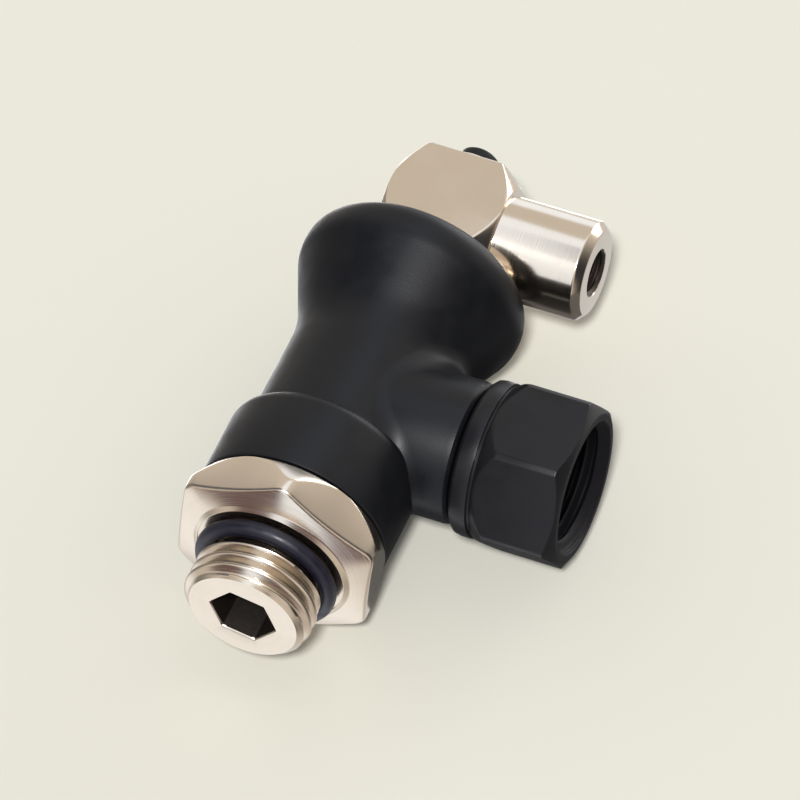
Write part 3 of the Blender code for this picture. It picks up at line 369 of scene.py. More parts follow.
def stud_outline(angle, share):
    """Section of the stud: end, thread, seal's groove, hexagon, spigot, chamber, throat, key socket."""
    key_r = polygon_radius(angle, KEY_FLATS, 6, KEY_TURN, KEY_ROUNDING)
    hex_r = polygon_radius(angle, HEX_FLATS, 6, HEX_TURN, HEX_ROUNDING)
    key_floor = STUD_LOW + KEY_DEPTH
    return [
        (key_r, key_floor, 0),
        (key_r, STUD_LOW, 0.3),
        *stud_thread(share),
        (SEAL_FLOOR_R, SEAL_RECESS, 0),
        (SEAL_ROOF_R, SEAL_RECESS, 0),
        (SEAL_ROOF_R, 0, 0.08),
        (LIP_R, 0, 0.05),
        (LIP_R + LIP_WIDTH, LIP_RISE, 0.1),
        (hex_r, LIP_RISE + (hex_r - LIP_R - LIP_WIDTH) * HEX_UNDER_SLOPE, 0.35),
        (hex_r, HEX_HEIGHT - (hex_r - HEX_FLATS / 2) * HEX_TOP_SLOPE, 0.25),
        (HEX_FLATS / 2, HEX_HEIGHT, 0.15),
        (SPIGOT_R, HEX_HEIGHT, 0),
        (SPIGOT_R, CLIP_GROOVE_LOW, 0),
        (CLIP_GROOVE_R, CLIP_GROOVE_LOW, 0),
        (CLIP_GROOVE_R, CLIP_GROOVE_HIGH, 0),
        (SPIGOT_R, CLIP_GROOVE_HIGH, 0),
        (SPIGOT_R, RING_GROOVE_LOW, 0),
        (RING_GROOVE_R, RING_GROOVE_LOW, 0),
        (RING_GROOVE_R, RING_GROOVE_HIGH, 0),
        (SPIGOT_R, RING_GROOVE_HIGH, 0),
        (SPIGOT_R, STUD_HIGH, 0.15),
        (CHAMBER_R, STUD_HIGH, 0.15),
        (CHAMBER_R, CHAMBER_FLOOR, 0),
        (THROAT_R, CHAMBER_FLOOR, 0.2),
        (THROAT_R, key_floor, 0),
    ]


def blank_material(name):
    """A new material with its tree and its Principled shader."""
    material = bpy.data.materials.new(name)
    material.use_nodes = True
    return material, material.node_tree, material.node_tree.nodes["Principled BSDF"]


def lathe_lines(tree, axis, centre, per_mm):
    """Noise that runs along an axis and out from it, as the marks of a lathe do."""
    place = add(tree, "ShaderNodeTexCoord").outputs["Object"]
    centred = add(tree, "ShaderNodeVectorMath", {0: place, 1: centre}, operation="SUBTRACT").outputs[0]
    across = Vector((1, 1, 1)) - axis
    outward = add(tree, "ShaderNodeVectorMath", {0: centred, 1: across}, operation="MULTIPLY").outputs[0]
    out = add(tree, "ShaderNodeVectorMath", {0: outward}, operation="LENGTH").outputs["Value"]
    along = add(tree, "ShaderNodeVectorMath", {0: centred, 1: axis}, operation="DOT_PRODUCT")
    lines = add(tree, "ShaderNodeCombineXYZ", {0: along.outputs["Value"], 1: out})
    return add(tree, "ShaderNodeTexNoise", {"Vector": lines.outputs[0], "Scale": per_mm / MM, "Detail": 2.0})


def plated_brass(name, axis, centre=(0, 0, 0), roughness=NICKEL_ROUGHNESS, tone=NICKEL, pale=NICKEL_PALE):
    """Nickel over turned brass: a warm tone that drifts, faint lathe rings, small changes of gloss."""
    material, tree, shader = blank_material(name)
    place = add(tree, "ShaderNodeTexCoord").outputs["Object"]
    drift = add(tree, "ShaderNodeTexNoise", {"Vector": place, "Scale": 0.28 / MM, "Detail": 3.0})
    mixed = add(tree, "ShaderNodeMix", {0: drift.outputs[0], 6: tone, 7: pale}, data_type="RGBA")
    tree.links.new(mixed.outputs[2], shader.inputs["Base Color"])
    shader.inputs["Metallic"].default_value = 1.0
    rings = lathe_lines(tree, axis, centre, 7.0)
    gloss = add(tree, "ShaderNodeMapRange", {0: rings.outputs[0], 1: 0.3, 2: 0.7, 3: roughness - 0.05,
                                             4: roughness + 0.07})
    tree.links.new(gloss.outputs[0], shader.inputs["Roughness"])
    bump = add(tree, "ShaderNodeBump", {"Strength": 0.12, "Distance": 0.02 * MM, "Height": rings.outputs[0]})
    tree.links.new(bump.outputs[0], shader.inputs["Normal"])
    return material


def paint_bore_shade(item, material, inside):
    """Painted shade: a darker second material on a bore's walls. inside picks faces by their middle in
    millimetres.
    """
    item.data.materials.append(material)
    for face in item.data.polygons:
        if inside(item.matrix_world @ face.center / MM):
            face.material_index = 1


def dress(item, material, body, nodes, sharp=32):
    """Finish a piece: its material, its shading, the body it rides on and the nodes it stands for."""
    item.data.materials.clear()
    item.data.materials.append(material)
    item.data.shade_smooth()
    item.data.set_sharp_from_angle(angle=radians(sharp))
    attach(item, body)
    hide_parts(*nodes)


Z_AXIS = Vector((0, 0, 1))
stud_nickel = plated_brass("stud_nickel", Z_AXIS)
stud = turned("stud_turned", stud_outline, STUD_COLUMNS, HEX_TURN)
dress(stud, stud_nickel, "stud", ["male_stud"])
# Painted shade: the key socket's walls get the dark nickel.
bore_shade_nickel = plated_brass("bore_shade_nickel", Z_AXIS, roughness=0.5, tone=BORE_SHADE_NICKEL, pale=BORE_SHADE_NICKEL)
paint_bore_shade(stud, bore_shade_nickel, lambda middle: middle.xy.length < KEY_MOUTH_R and middle.z > STUD_LOW + 0.3)

# Seal rings of black nitrile rubber. The one under the hexagon is captive in its groove and shows in blue
# black with a soft sheen; the others sit in the grooves of the spigot, the spindle and the sleeve.
SEAL_CORD = 0.85
SEAL_R = 7.43
SEAL_ROUND = 20
RUBBER = (0.006, 0.006, 0.014, 1.0)
RUBBER_BLOOM = (0.014, 0.014, 0.030, 1.0)


def rubber_material(name):
    """Blue-black moulded rubber with a faint bloom and a fine grain."""
    material, tree, shader = blank_material(name)
    place = add(tree, "ShaderNodeTexCoord").outputs["Object"]
    bloom = add(tree, "ShaderNodeTexNoise", {"Vector": place, "Scale": 0.9 / MM, "Detail": 4.0})
    tone = add(tree, "ShaderNodeMix", {0: bloom.outputs[0], 6: RUBBER, 7: RUBBER_BLOOM}, data_type="RGBA")
    tree.links.new(tone.outputs[2], shader.inputs["Base Color"])
    shader.inputs["Specular IOR Level"].default_value = 0.5
    gloss = add(tree, "ShaderNodeMapRange", {0: bloom.outputs[0], 1: 0.3, 2: 0.7, 3: 0.3, 4: 0.5})
    tree.links.new(gloss.outputs[0], shader.inputs["Roughness"])
    grain = add(tree, "ShaderNodeTexNoise", {"Vector": place, "Scale": 14 / MM, "Detail": 2.0})
    bump = add(tree, "ShaderNodeBump", {"Strength": 0.15, "Distance": 0.02 * MM, "Height": grain.outputs[0]})
    tree.links.new(bump.outputs[0], shader.inputs["Normal"])
    return material


def cord_ring(name, outer_r, cord_r, height, columns=144):
    """A ring of round cord."""
    def section(angle, share):
        turns = [2 * pi * step / SEAL_ROUND for step in range(SEAL_ROUND)]
        return [(outer_r - cord_r + cord_r * cos(turn), height + cord_r * sin(turn), 0) for turn in turns]
    return turned(name, section, columns)


rubber = rubber_material("nitrile")
seal_middle = (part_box("stud_seal_ring")[0].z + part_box("stud_seal_ring")[1].z) / 2 / MM
stud_seal = cord_ring("stud_seal_cord", SEAL_R, SEAL_CORD, seal_middle)
dress(stud_seal, rubber, "stud", ["stud_seal_ring"])
for node in ("spigot_o_ring", "poppet_seal", "rod_seal", "piston_seal", "cover_o_ring", "head_lower_o_ring",
             "head_upper_o_ring", "port_o_ring"):
    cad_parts[node].data.materials.clear()
    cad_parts[node].data.materials.append(rubber)

# Valve body: one moulding of black glass-filled polymer. A collar turns on the stud's hexagon, the neck
# flares out to the flange that holds the cover, and the side branch grows out of the neck in a soft foot.
BODY_COLUMNS = 180
BODY_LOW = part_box("valve_body")[0].z / MM
BODY_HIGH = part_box("valve_body")[1].z / MM
COLLAR_R = 10.0
COLLAR_TOP = BODY_LOW + 9.0
COLLAR_EDGE = 1.6
COLLAR_EDGE_TURN = 75
NECK_R = 8.5
FLANGE_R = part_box("valve_body")[1].y / MM
FLANGE_LOW = 34.9
FLANGE_EDGE = 2.2
FLANGE_EDGE_IN = 1.5
FLARE_LOW = 26.9
FLARE_BEND = 2.2
BRANCH_HEIGHT = 19.4
BRANCH_R = 7.3
BRANCH_END = 13.5
BRANCH_EDGE = 0.9
BRANCH_START = 1.0
BRANCH_FOOT = 2.6
FOOT_ROOM = 0.965
FOOT_SINK = 0.04
BRANCH_COLUMNS = 144
SOCKET_R = 7.8
SOCKET_HIGH = 15.1
CLIP_ROOM_R = 8.8
FLOW_R = 6.3
FLOW_HIGH = 23.7
WEB_R = 4.5
CYLINDER_LOW = 27.4
CYLINDER_HIGH = 35.2
CYLINDER_R = 7.4
COVER_SEAL_R = 8.9
COVER_SEAT = 36.7
COVER_SEAT_R = 9.8
PASSAGE_START = 3.0
PASSAGE_R = 3.3
PLUG_FLOOR = 9.1
PLUG_ROOM_R = 5.7
CUT_PAST = 0.5
POLYMER = (0.0045, 0.005, 0.0068, 1.0)
POLYMER_PALE = (0.0085, 0.009, 0.0115, 1.0)


def arc(radius, height, reach, rise, start, end, steps):
    """Points of an elliptic arc round a centre in the outline, between two angles in degrees."""
    turns = [radians(start + (end - start) * step / steps) for step in range(steps + 1)]
    return [(radius + reach * cos(turn), height + rise * sin(turn), 0) for turn in turns]


def body_outline(angle, share):
    """Outside of the body: collar, neck, flare, flange and its rounded top."""
    return [
        (0, BODY_LOW, 0),
        (COLLAR_R, BODY_LOW, 0.3),
        *arc(COLLAR_R - COLLAR_EDGE, COLLAR_TOP - COLLAR_EDGE, COLLAR_EDGE, COLLAR_EDGE, 0,
             COLLAR_EDGE_TURN, 8),
        (NECK_R, COLLAR_TOP, 0.15),
        *[(radius, height, 0) for radius, height in flare_points()],
        *arc(FLANGE_R - FLANGE_EDGE_IN, BODY_HIGH - FLANGE_EDGE, FLANGE_EDGE_IN, FLANGE_EDGE, 0, 90, 9),
        (0, BODY_HIGH, 0),
    ]


def neck_radius(height):
    """Radius of the neck and the flare at a height, with a soft bend where the flare starts."""
    spread = (FLANGE_R - NECK_R) / (FLANGE_LOW - FLARE_LOW)
    run = height - FLARE_LOW
    if run > FLARE_BEND:
        return min(NECK_R + spread * run, FLANGE_R)
    if run > -FLARE_BEND:
        return NECK_R + spread * (run + FLARE_BEND) ** 2 / (4 * FLARE_BEND)
    return NECK_R


def flare_points():
    """Outline of the neck from the collar to the flange's land."""
    heights = [COLLAR_TOP + 0.5 * step for step in range(1, 100)]
    points = [(neck_radius(height), height) for height in heights if height < FLANGE_LOW - 0.8]
    shares = [step / 4 for step in range(5)]
    bend = [(FLANGE_R - 0.25 * (1 - share) ** 2, FLANGE_LOW - 0.6 + 1.4 * share) for share in shares]
    return points + bend


def foot_reach(turn):
    """How far the branch's foot spreads at an angle round the branch, less where the neck falls away."""
    room = FOOT_ROOM * NECK_R / max(abs(sin(turn)), 0.05) - BRANCH_R
    return (BRANCH_FOOT ** -4 + room ** -4) ** -0.25


def branch_outline(angle, share):
    """Section of the branch at an angle round its own axis, from inside the neck out to its end."""
    side = BRANCH_R * sin(angle)
    height = BRANCH_HEIGHT - BRANCH_R * cos(angle)
    meets = sqrt(max(neck_radius(height) ** 2 - side ** 2, 0))
    reach = foot_reach(angle)
    wide = BRANCH_R + reach
    foot_side = wide * sin(angle)
    foot_height = BRANCH_HEIGHT - wide * cos(angle)
    foot = sqrt(max(neck_radius(foot_height) ** 2 - foot_side ** 2, 0)) - FOOT_SINK
    start, bend, end = Vector((wide, foot)), Vector((BRANCH_R, meets)), Vector((BRANCH_R, meets + reach))
    curve = [start.lerp(bend, step / 10).lerp(bend.lerp(end, step / 10), step / 10) for step in range(11)]
    return [
        (0, BRANCH_START, 0),
        (wide, min(BRANCH_START, foot - 0.3), 0),
        *[(point.x, point.y, 0) for point in curve],
        (BRANCH_R, BRANCH_END, BRANCH_EDGE),
        (0, BRANCH_END, 0),
    ]


def body_bore(angle, share):
    """The tool that bores the body from both ends: socket, clip groove, chamber, web, cylinder, seat."""
    bottom = BODY_LOW - CUT_PAST
    top = BODY_HIGH + CUT_PAST
    return [
        (0, bottom, 0),
        (SOCKET_R, bottom, 0),
        (SOCKET_R, CLIP_GROOVE_LOW, 0),
        (CLIP_ROOM_R, CLIP_GROOVE_LOW, 0),
        (CLIP_ROOM_R, CLIP_GROOVE_HIGH, 0),
        (SOCKET_R, CLIP_GROOVE_HIGH, 0),
        (SOCKET_R, SOCKET_HIGH, 0),
        (FLOW_R, SOCKET_HIGH, 0),
        (FLOW_R, FLOW_HIGH, 0),
        (WEB_R, FLOW_HIGH, 0),
        (WEB_R, CYLINDER_LOW, 0),
        (CYLINDER_R, CYLINDER_LOW, 0),
        (CYLINDER_R, CYLINDER_HIGH, 0),
        (COVER_SEAL_R, CYLINDER_HIGH, 0),
        (COVER_SEAL_R, COVER_SEAT, 0),
        (COVER_SEAT_R, COVER_SEAT, 0),
        (COVER_SEAT_R, top, 0),
        (0, top, 0),
    ]


def branch_bore(angle, share):
    """The tool that opens the branch: the passage and the socket of the port sleeve."""
    return [
        (0, PASSAGE_START, 0),
        (PASSAGE_R, PASSAGE_START, 0),
        (PASSAGE_R, PLUG_FLOOR, 0),
        (PLUG_ROOM_R, PLUG_FLOOR, 0),
        (PLUG_ROOM_R, BRANCH_END + CUT_PAST, 0),
        (0, BRANCH_END + CUT_PAST, 0),
    ]


def along_x(height):
    """The placement that lays a piece made along +Z on a +X axis at a height in millimetres."""
    return Matrix.Translation((0, 0, height * MM)) @ Matrix.Rotation(pi / 2, 4, "Y")


def combine(item, tool, operation):
    """Apply one exact Boolean step and drop its tool."""
    step = item.modifiers.new(operation.lower(), "BOOLEAN")
    step.operation = operation
    step.solver = "EXACT"
    step.object = tool
    bpy.context.view_layer.update()
    evaluated = item.evaluated_get(bpy.context.evaluated_depsgraph_get())
    result = bpy.data.meshes.new_from_object(evaluated)
    item.modifiers.clear()
    item.data = result
    bpy.data.objects.remove(tool)


def polymer_material(name, tone=POLYMER, pale=POLYMER_PALE, roughness=0.4):
    """Black moulded polymer: faint clouds in its tone and gloss over a fine spark-eroded grain."""
    material, tree, shader = blank_material(name)
    place = add(tree, "ShaderNodeTexCoord").outputs["Object"]
    clouds = add(tree, "ShaderNodeTexNoise", {"Vector": place, "Scale": 0.35 / MM, "Detail": 4.0})
    mixed = add(tree, "ShaderNodeMix", {0: clouds.outputs[0], 6: tone, 7: pale}, data_type="RGBA")
    tree.links.new(mixed.outputs[2], shader.inputs["Base Color"])
    shader.inputs["Specular IOR Level"].default_value = 0.3
    gloss = add(tree, "ShaderNodeMapRange", {0: clouds.outputs[0], 1: 0.3, 2: 0.7, 3: roughness - 0.05,
                                             4: roughness + 0.08})
    tree.links.new(gloss.outputs[0], shader.inputs["Roughness"])
    grain = add(tree, "ShaderNodeTexNoise", {"Vector": place, "Scale": 5.0 / MM, "Detail": 3.0})
    bump = add(tree, "ShaderNodeBump", {"Strength": 0.3, "Distance": 0.03 * MM, "Height": grain.outputs[0]})
    tree.links.new(bump.outputs[0], shader.inputs["Normal"])
    return material


polymer = polymer_material("body_polymer")
body = turned("body_moulding", body_outline, BODY_COLUMNS)
combine(body, turned("branch_blank", branch_outline, BRANCH_COLUMNS, where=along_x(BRANCH_HEIGHT)), "UNION")
combine(body, turned("body_bore_tool", body_bore, BODY_COLUMNS), "DIFFERENCE")
combine(body, turned("branch_bore_tool", branch_bore, where=along_x(BRANCH_HEIGHT)), "DIFFERENCE")
dress(body, polymer, "valve", ["valve_body"])

# Port sleeve: a black sleeve plugged into the branch. It has a round ring, a dark step, and a hexagon that
# is turned off at its corners, and its bore carries the female pipe thread.
SLEEVE_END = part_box("port_sleeve")[1].x / MM
SLEEVE_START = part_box("port_sleeve")[0].x / MM
SLEEVE_COLUMNS = 360
PLUG_R = 5.4
PLUG_GROOVE = 11.6
PLUG_GROOVE_R = 4.1
SEAL_GROOVE_HALF = 0.8
SLEEVE_RING = 13.8
SLEEVE_RING_R = 7.95
SLEEVE_STEP = 0.3
SLEEVE_HEX = 16.1
SLEEVE_HEX_START_R = 7.8
SLEEVE_FLATS = 16.0
SLEEVE_HEX_R = 9.05
SLEEVE_HEX_TURN = radians(1)
SLEEVE_CHAMFER_SLOPE = 1.4
SLEEVE_RING_EDGE = 0.9
SLEEVE_END_R = 7.6
SLEEVE_END_SLOPE = 0.85 / 1.45
SLEEVE_ROUNDING = 0.5
SLEEVE_POLYMER = (0.0075, 0.0073, 0.0090, 1.0)
SLEEVE_POLYMER_PALE = (0.0125, 0.0118, 0.0145, 1.0)
SLEEVE_ROUGHNESS = 0.34
# Painted shade: a near-black polymer for the port's thread and mouth.
BORE_SHADE_POLYMER = (0.0025, 0.002, 0.0035, 1.0)
BORE_SHADE_POLYMER_PALE = (0.005, 0.004, 0.007, 1.0)
BORE_SHADE_POLYMER_ROUGHNESS = 0.55
PORT_DEPTH = 9.4
PORT_LOW = SLEEVE_END - PORT_DEPTH
PORT_RELIEF = 1.2
PORT_MOUTH_R = 6.9


def port_thread(share):
    """The female thread from the mouth inwards, opened by its lead-in."""
    points = []
    for height, depth in thread_rows(PORT_LOW, SLEEVE_END, THREAD_PITCH, share):
        radius = THREAD_R - depth * (THREAD_R - THREAD_ROOT_R)
        opening = PORT_MOUTH_R - (SLEEVE_END - height)
        run_in = THREAD_ROOT_R + 2 * (height - PORT_LOW)
        points.append((max(min(radius, run_in), opening, THREAD_ROOT_R), height, 0))
    points[-1] = (PORT_MOUTH_R, SLEEVE_END, 0)
    return points[::-1]


def seal_groove(shaft_r, floor_r, middle):
    """A square groove in a shaft for a seal ring."""
    low = middle - SEAL_GROOVE_HALF
    high = middle + SEAL_GROOVE_HALF
    return [(shaft_r, low, 0), (floor_r, low, 0), (floor_r, high, 0), (shaft_r, high, 0)]


def sleeve_outline(angle, share):
    """Section of the sleeve: plug with its groove, ring, step, hexagon, end face, thread, passage."""
    hex_r = min(polygon_radius(angle, SLEEVE_FLATS, 6, SLEEVE_HEX_TURN, SLEEVE_ROUNDING), SLEEVE_HEX_R)
    return [
        (PASSAGE_R, SLEEVE_START, 0),
        (PLUG_R, SLEEVE_START, 0.1),
        *seal_groove(PLUG_R, PLUG_GROOVE_R, PLUG_GROOVE),
        (PLUG_R, SLEEVE_RING, 0),
        (SLEEVE_RING_R, SLEEVE_RING, SLEEVE_RING_EDGE),
        (SLEEVE_RING_R, SLEEVE_HEX - SLEEVE_STEP, 0.1),
        (SLEEVE_RING_R - SLEEVE_STEP, SLEEVE_HEX - SLEEVE_STEP, 0),
        (SLEEVE_RING_R - SLEEVE_STEP, SLEEVE_HEX, 0),
        (SLEEVE_HEX_START_R, SLEEVE_HEX, 0.06),
        (hex_r, SLEEVE_HEX + (hex_r - SLEEVE_HEX_START_R) * SLEEVE_CHAMFER_SLOPE, 0.25),
        (hex_r, SLEEVE_END - (hex_r - SLEEVE_END_R) * SLEEVE_END_SLOPE, 0.12),
        (SLEEVE_END_R, SLEEVE_END, 0.12),
        *port_thread(share),
        (PASSAGE_R, PORT_LOW - PORT_RELIEF, 0),
    ]


sleeve_polymer = polymer_material("sleeve_polymer", SLEEVE_POLYMER, SLEEVE_POLYMER_PALE, SLEEVE_ROUGHNESS)
sleeve = turned("sleeve_moulding", sleeve_outline, SLEEVE_COLUMNS, SLEEVE_HEX_TURN, along_x(BRANCH_HEIGHT))
dress(sleeve, sleeve_polymer, "valve", ["port_sleeve"])
bore_shade_polymer = polymer_material("bore_shade_polymer", BORE_SHADE_POLYMER, BORE_SHADE_POLYMER_PALE, BORE_SHADE_POLYMER_ROUGHNESS)
port_axis = Vector((0, BRANCH_HEIGHT))


def in_port(middle):
    """Whether a face lies in the port's thread or its mouth."""
    return (middle.yz - port_axis).length < PORT_MOUTH_R - 0.05 and middle.x < SLEEVE_END - 0.04


# Painted shade: the port's thread and mouth get the near-black polymer.
paint_bore_shade(sleeve, bore_shade_polymer, in_port)

# Pilot cover: nickel-plated, screwed into the flange. Its hollow spindle, cross-drilled where the pilot
# head feeds it, carries the head between its shoulder and the snap ring.
COVER_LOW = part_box("pilot_cover")[0].z / MM
SPINDLE_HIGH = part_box("pilot_cover")[1].z / MM
PILOT_HEIGHT = 44.75
COVER_COLUMNS = 128
COVER_ROUGHNESS = 0.24
COVER_PLUG_R = 7.1
COVER_RIM_LOW = 37.0
COVER_RIM_R = 9.5
SHOULDER_R = 4.4
SHOULDER_HEIGHT = 0.5
SPINDLE_R = 3.0
SPINDLE_GROOVE_R = 1.7
SPINDLE_GROOVE_OFF = 3.4
SPINDLE_HOLE_R = 0.9
CROSS_GROOVE_R = 2.3
CROSS_GROOVE_HALF = 1.2
CROSS_DRILL_R = 0.7
CROSS_DRILL_HALF = 3.5
HEAD_CLIP_R = 2.2
HEAD_CLIP_LOW = 50.5
HEAD_CLIP_HIGH = 51.8
SPINDLE_HOLE_TOP = 0.7
SPINDLE_HOLE_TIP = 1.15
CAP_HOLE_R = 1.3
CAP_HOLE_DEPTH = 1.4
SPANNER_DRILL_R = 0.8
SPANNER_DRILL_OFF = 7.6
SPANNER_DRILL_DEPTH = 0.7


def cover_outline(angle, share):
    """Section of the cover and its spindle, with the hollow below the cross hole and the cap's hole."""
    return [
        (SPINDLE_HOLE_R, COVER_LOW, 0),
        (COVER_PLUG_R, COVER_LOW, 0.2),
        (COVER_PLUG_R, COVER_RIM_LOW, 0),
        (COVER_RIM_R, COVER_RIM_LOW, 0.1),
        (COVER_RIM_R, BODY_HIGH, 0.35),
        (SHOULDER_R, BODY_HIGH, 0.1),
        (SHOULDER_R, BODY_HIGH + SHOULDER_HEIGHT, 0.1),
        (SPINDLE_R, BODY_HIGH + SHOULDER_HEIGHT, 0),
        *seal_groove(SPINDLE_R, SPINDLE_GROOVE_R, PILOT_HEIGHT - SPINDLE_GROOVE_OFF),
        (SPINDLE_R, PILOT_HEIGHT - CROSS_GROOVE_HALF, 0),
        (CROSS_GROOVE_R, PILOT_HEIGHT - CROSS_GROOVE_HALF, 0),
        (CROSS_GROOVE_R, PILOT_HEIGHT + CROSS_GROOVE_HALF, 0),
        (SPINDLE_R, PILOT_HEIGHT + CROSS_GROOVE_HALF, 0),
        *seal_groove(SPINDLE_R, SPINDLE_GROOVE_R, PILOT_HEIGHT + SPINDLE_GROOVE_OFF),
        (SPINDLE_R, HEAD_CLIP_LOW, 0),
        (HEAD_CLIP_R, HEAD_CLIP_LOW, 0),
        (HEAD_CLIP_R, HEAD_CLIP_HIGH, 0),
        (SPINDLE_R, HEAD_CLIP_HIGH, 0.08),
        (SPINDLE_R, SPINDLE_HIGH, 0.3),
        (CAP_HOLE_R, SPINDLE_HIGH, 0.05),
        (CAP_HOLE_R, SPINDLE_HIGH - CAP_HOLE_DEPTH, 0),
        (0, SPINDLE_HIGH - CAP_HOLE_DEPTH, 0),
        (0, PILOT_HEIGHT + SPINDLE_HOLE_TIP, 0),
        (SPINDLE_HOLE_R, PILOT_HEIGHT + SPINDLE_HOLE_TOP, 0),
    ]


def pin(name, radius, low, high, where, columns=32):
    """A round tool for drilling."""
    def section(angle, share):
        return [(0, low, 0), (radius, low, 0), (radius, high, 0), (0, high, 0)]
    return turned(name, section, columns, where=where)


cover_nickel = plated_brass("cover_nickel", Z_AXIS, roughness=COVER_ROUGHNESS)
cover = turned("cover_turned", cover_outline, COVER_COLUMNS)
cross_drill = pin("cross_drill", CROSS_DRILL_R, -CROSS_DRILL_HALF, CROSS_DRILL_HALF, along_x(PILOT_HEIGHT))
combine(cover, cross_drill, "DIFFERENCE")
spanner_floor = BODY_HIGH - SPANNER_DRILL_DEPTH
for side in (-1, 1):
    spot = Matrix.Translation((0, side * SPANNER_DRILL_OFF * MM, 0))
    spanner_drill = pin("spanner_drill", SPANNER_DRILL_R, spanner_floor, BODY_HIGH + CUT_PAST * 2, spot)
    combine(cover, spanner_drill, "DIFFERENCE")
dress(cover, cover_nickel, "valve", ["pilot_cover"])

# Pilot head: turned from square brass bar and nickel plated. Both ends of the block carry the cone that
# the lathe leaves on a square, and the round arm has the small threaded pilot port in its end.
HEAD_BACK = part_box("pilot_head")[0].x / MM
ARM_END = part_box("pilot_head")[1].x / MM
HEAD_FLATS = 11.5
HEAD_SHOULDER = 6.4
HEAD_BACK_SLOPE = tan(radians(40))
HEAD_FRONT_SLOPE = tan(radians(45))
HEAD_ROUNDING = 0.35
ARM_R = 5.15
ARM_EDGE = 0.8
PILOT_ROOT_R = 2.1
PILOT_THREAD_R = 2.5
PILOT_PITCH = 0.8
PILOT_DEPTH = 6.0
PILOT_LOW = ARM_END - PILOT_DEPTH
PILOT_MOUTH_R = 2.55
PILOT_PASSAGE_R = 0.9
PILOT_PASSAGE_START = 1.5
SPINDLE_ROOM_R = 3.3
SPINDLE_ROOM_LOW = 38.0
SPINDLE_ROOM_HIGH = 51.0
SPINDLE_ROOM_COLUMNS = 64
HEAD_COLUMNS = 240
HEAD_ROUGHNESS = 0.16


def pilot_thread(share):
    """The small female thread of the pilot port, from its mouth inwards."""
    points = []
    for height, depth in thread_rows(PILOT_LOW, ARM_END, PILOT_PITCH, share):
        radius = PILOT_THREAD_R - depth * (PILOT_THREAD_R - PILOT_ROOT_R)
        opening = PILOT_MOUTH_R - (ARM_END - height)
        run_in = PILOT_ROOT_R + 2 * (height - PILOT_LOW)
        points.append((max(min(radius, run_in), opening, PILOT_ROOT_R), height, 0))
    points[-1] = (PILOT_MOUTH_R, ARM_END, 0)
    return points[::-1]


def head_outline(angle, share):
    """Section of the head at an angle round the arm's axis."""
    half = HEAD_FLATS / 2
    side = polygon_radius(angle, HEAD_FLATS, 4, pi / 4, HEAD_ROUNDING)
    return [
        (0, HEAD_BACK, 0),
        (half, HEAD_BACK, 0.2),
        (side, HEAD_BACK + (side - half) * HEAD_BACK_SLOPE, 0.2),
        (side, HEAD_SHOULDER - (side - half) * HEAD_FRONT_SLOPE, 0.2),
        (half, HEAD_SHOULDER, 0.15),
        (ARM_R, HEAD_SHOULDER, 0.1),
        (ARM_R, ARM_END - ARM_EDGE, 0.15),
        (ARM_R - ARM_EDGE, ARM_END, 0.15),
        *pilot_thread(share),
        (PILOT_PASSAGE_R, PILOT_LOW - 0.3, 0),
        (PILOT_PASSAGE_R, PILOT_PASSAGE_START, 0),
        (0, PILOT_PASSAGE_START, 0),
    ]


head_nickel = plated_brass("head_nickel", Vector((1, 0, 0)), (0, 0, PILOT_HEIGHT * MM), HEAD_ROUGHNESS)
head = turned("head_turned", head_outline, HEAD_COLUMNS, pi / 4, along_x(PILOT_HEIGHT))
spindle_drill = pin("spindle_drill", SPINDLE_ROOM_R, SPINDLE_ROOM_LOW, SPINDLE_ROOM_HIGH,
                    Matrix.Identity(4), SPINDLE_ROOM_COLUMNS)
combine(head, spindle_drill, "DIFFERENCE")
dress(head, head_nickel, "head", ["pilot_head"])
pilot_axis = Vector((0, PILOT_HEIGHT))
# Painted shade: the pilot port's walls get the dark nickel.
paint_bore_shade(head, bore_shade_nickel,
          lambda middle: (middle.yz - pilot_axis).length < PILOT_THREAD_R and middle.x > SPINDLE_R)

# Spindle cap: a small black moulded button pushed into the spindle's end over the snap ring.
# Only a sliver of it shows above the pilot head.
CAP_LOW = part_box("spindle_cap")[0].z / MM
CAP_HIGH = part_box("spindle_cap")[1].z / MM
CAP_RIM = 52.9
CAP_STEM_R = 1.0
CAP_R = 2.15
CAP_COLUMNS = 64


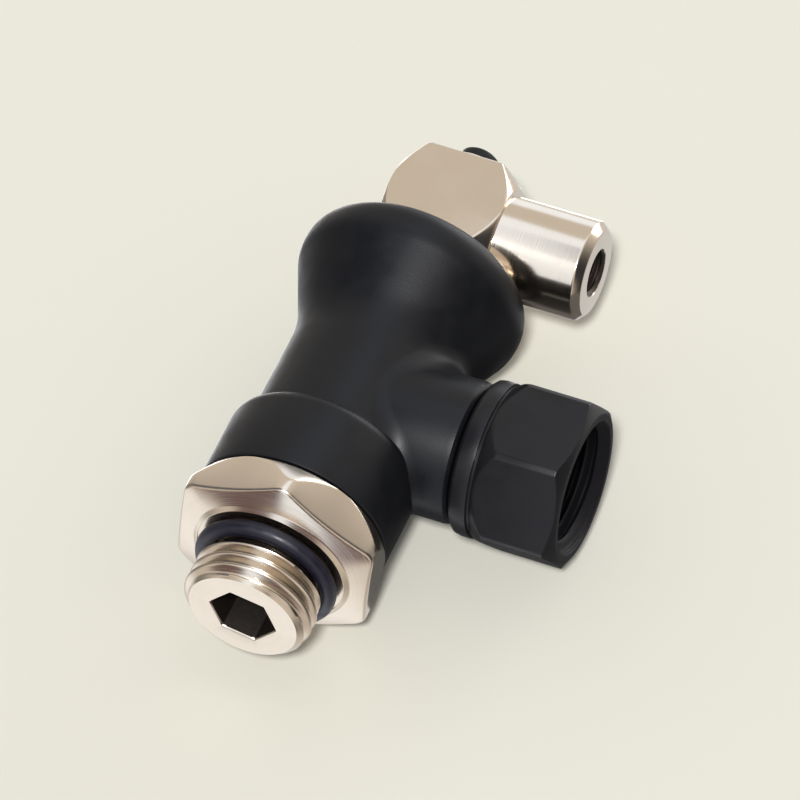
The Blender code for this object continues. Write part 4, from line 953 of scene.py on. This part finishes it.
def cap_outline(angle, share):
    """Section of the cap: stem, rim and rounded top."""
    return [
        (0, CAP_LOW, 0),
        (CAP_STEM_R, CAP_LOW, 0.15),
        (CAP_STEM_R, CAP_RIM, 0),
        (CAP_R, CAP_RIM, 0.1),
        (CAP_R, CAP_HIGH, 0.45),
        (0, CAP_HIGH, 0),
    ]


cap = turned("cap_moulding", cap_outline, CAP_COLUMNS)
dress(cap, polymer, "valve", ["spindle_cap"])

# Inner pieces of turned brass and steel: they show only through the ports, as the CAD made them.
# Brass for the seat, poppet, guide and piston, steel for the rod, springs and snap rings.
BARE_BRASS = (0.72, 0.52, 0.24, 1.0)
BRIGHT_STEEL = (0.55, 0.55, 0.56, 1.0)
BLACK_STEEL = (0.05, 0.05, 0.055, 1.0)


def plain_metal(name, tone, roughness, axis=Z_AXIS):
    """Bare turned metal with faint lathe rings."""
    material, tree, shader = blank_material(name)
    rings = lathe_lines(tree, axis, (0, 0, 0), 6.0)
    pale = tuple(min(1.0, channel * 1.15) for channel in tone[:3]) + (1.0,)
    mixed = add(tree, "ShaderNodeMix", {0: rings.outputs[0], 6: tone, 7: pale}, data_type="RGBA")
    tree.links.new(mixed.outputs[2], shader.inputs["Base Color"])
    shader.inputs["Metallic"].default_value = 1.0
    gloss = add(tree, "ShaderNodeMapRange", {0: rings.outputs[0], 1: 0.3, 2: 0.7, 3: roughness,
                                             4: roughness + 0.1})
    tree.links.new(gloss.outputs[0], shader.inputs["Roughness"])
    return material


brass = plain_metal("turned_brass_bare", BARE_BRASS, 0.25)
steel = plain_metal("bright_steel", BRIGHT_STEEL, 0.25)
dark_steel = plain_metal("black_steel", BLACK_STEEL, 0.35)
inner_finishes = {
    brass: ("check_seat", "check_poppet", "rod_guide", "pilot_piston"),
    steel: ("poppet_spring", "piston_spring", "piston_rod", "swivel_clip"),
    dark_steel: ("head_clip",),
}
for material, nodes in inner_finishes.items():
    for node in nodes:
        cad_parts[node].data.materials.clear()
        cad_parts[node].data.materials.append(material)
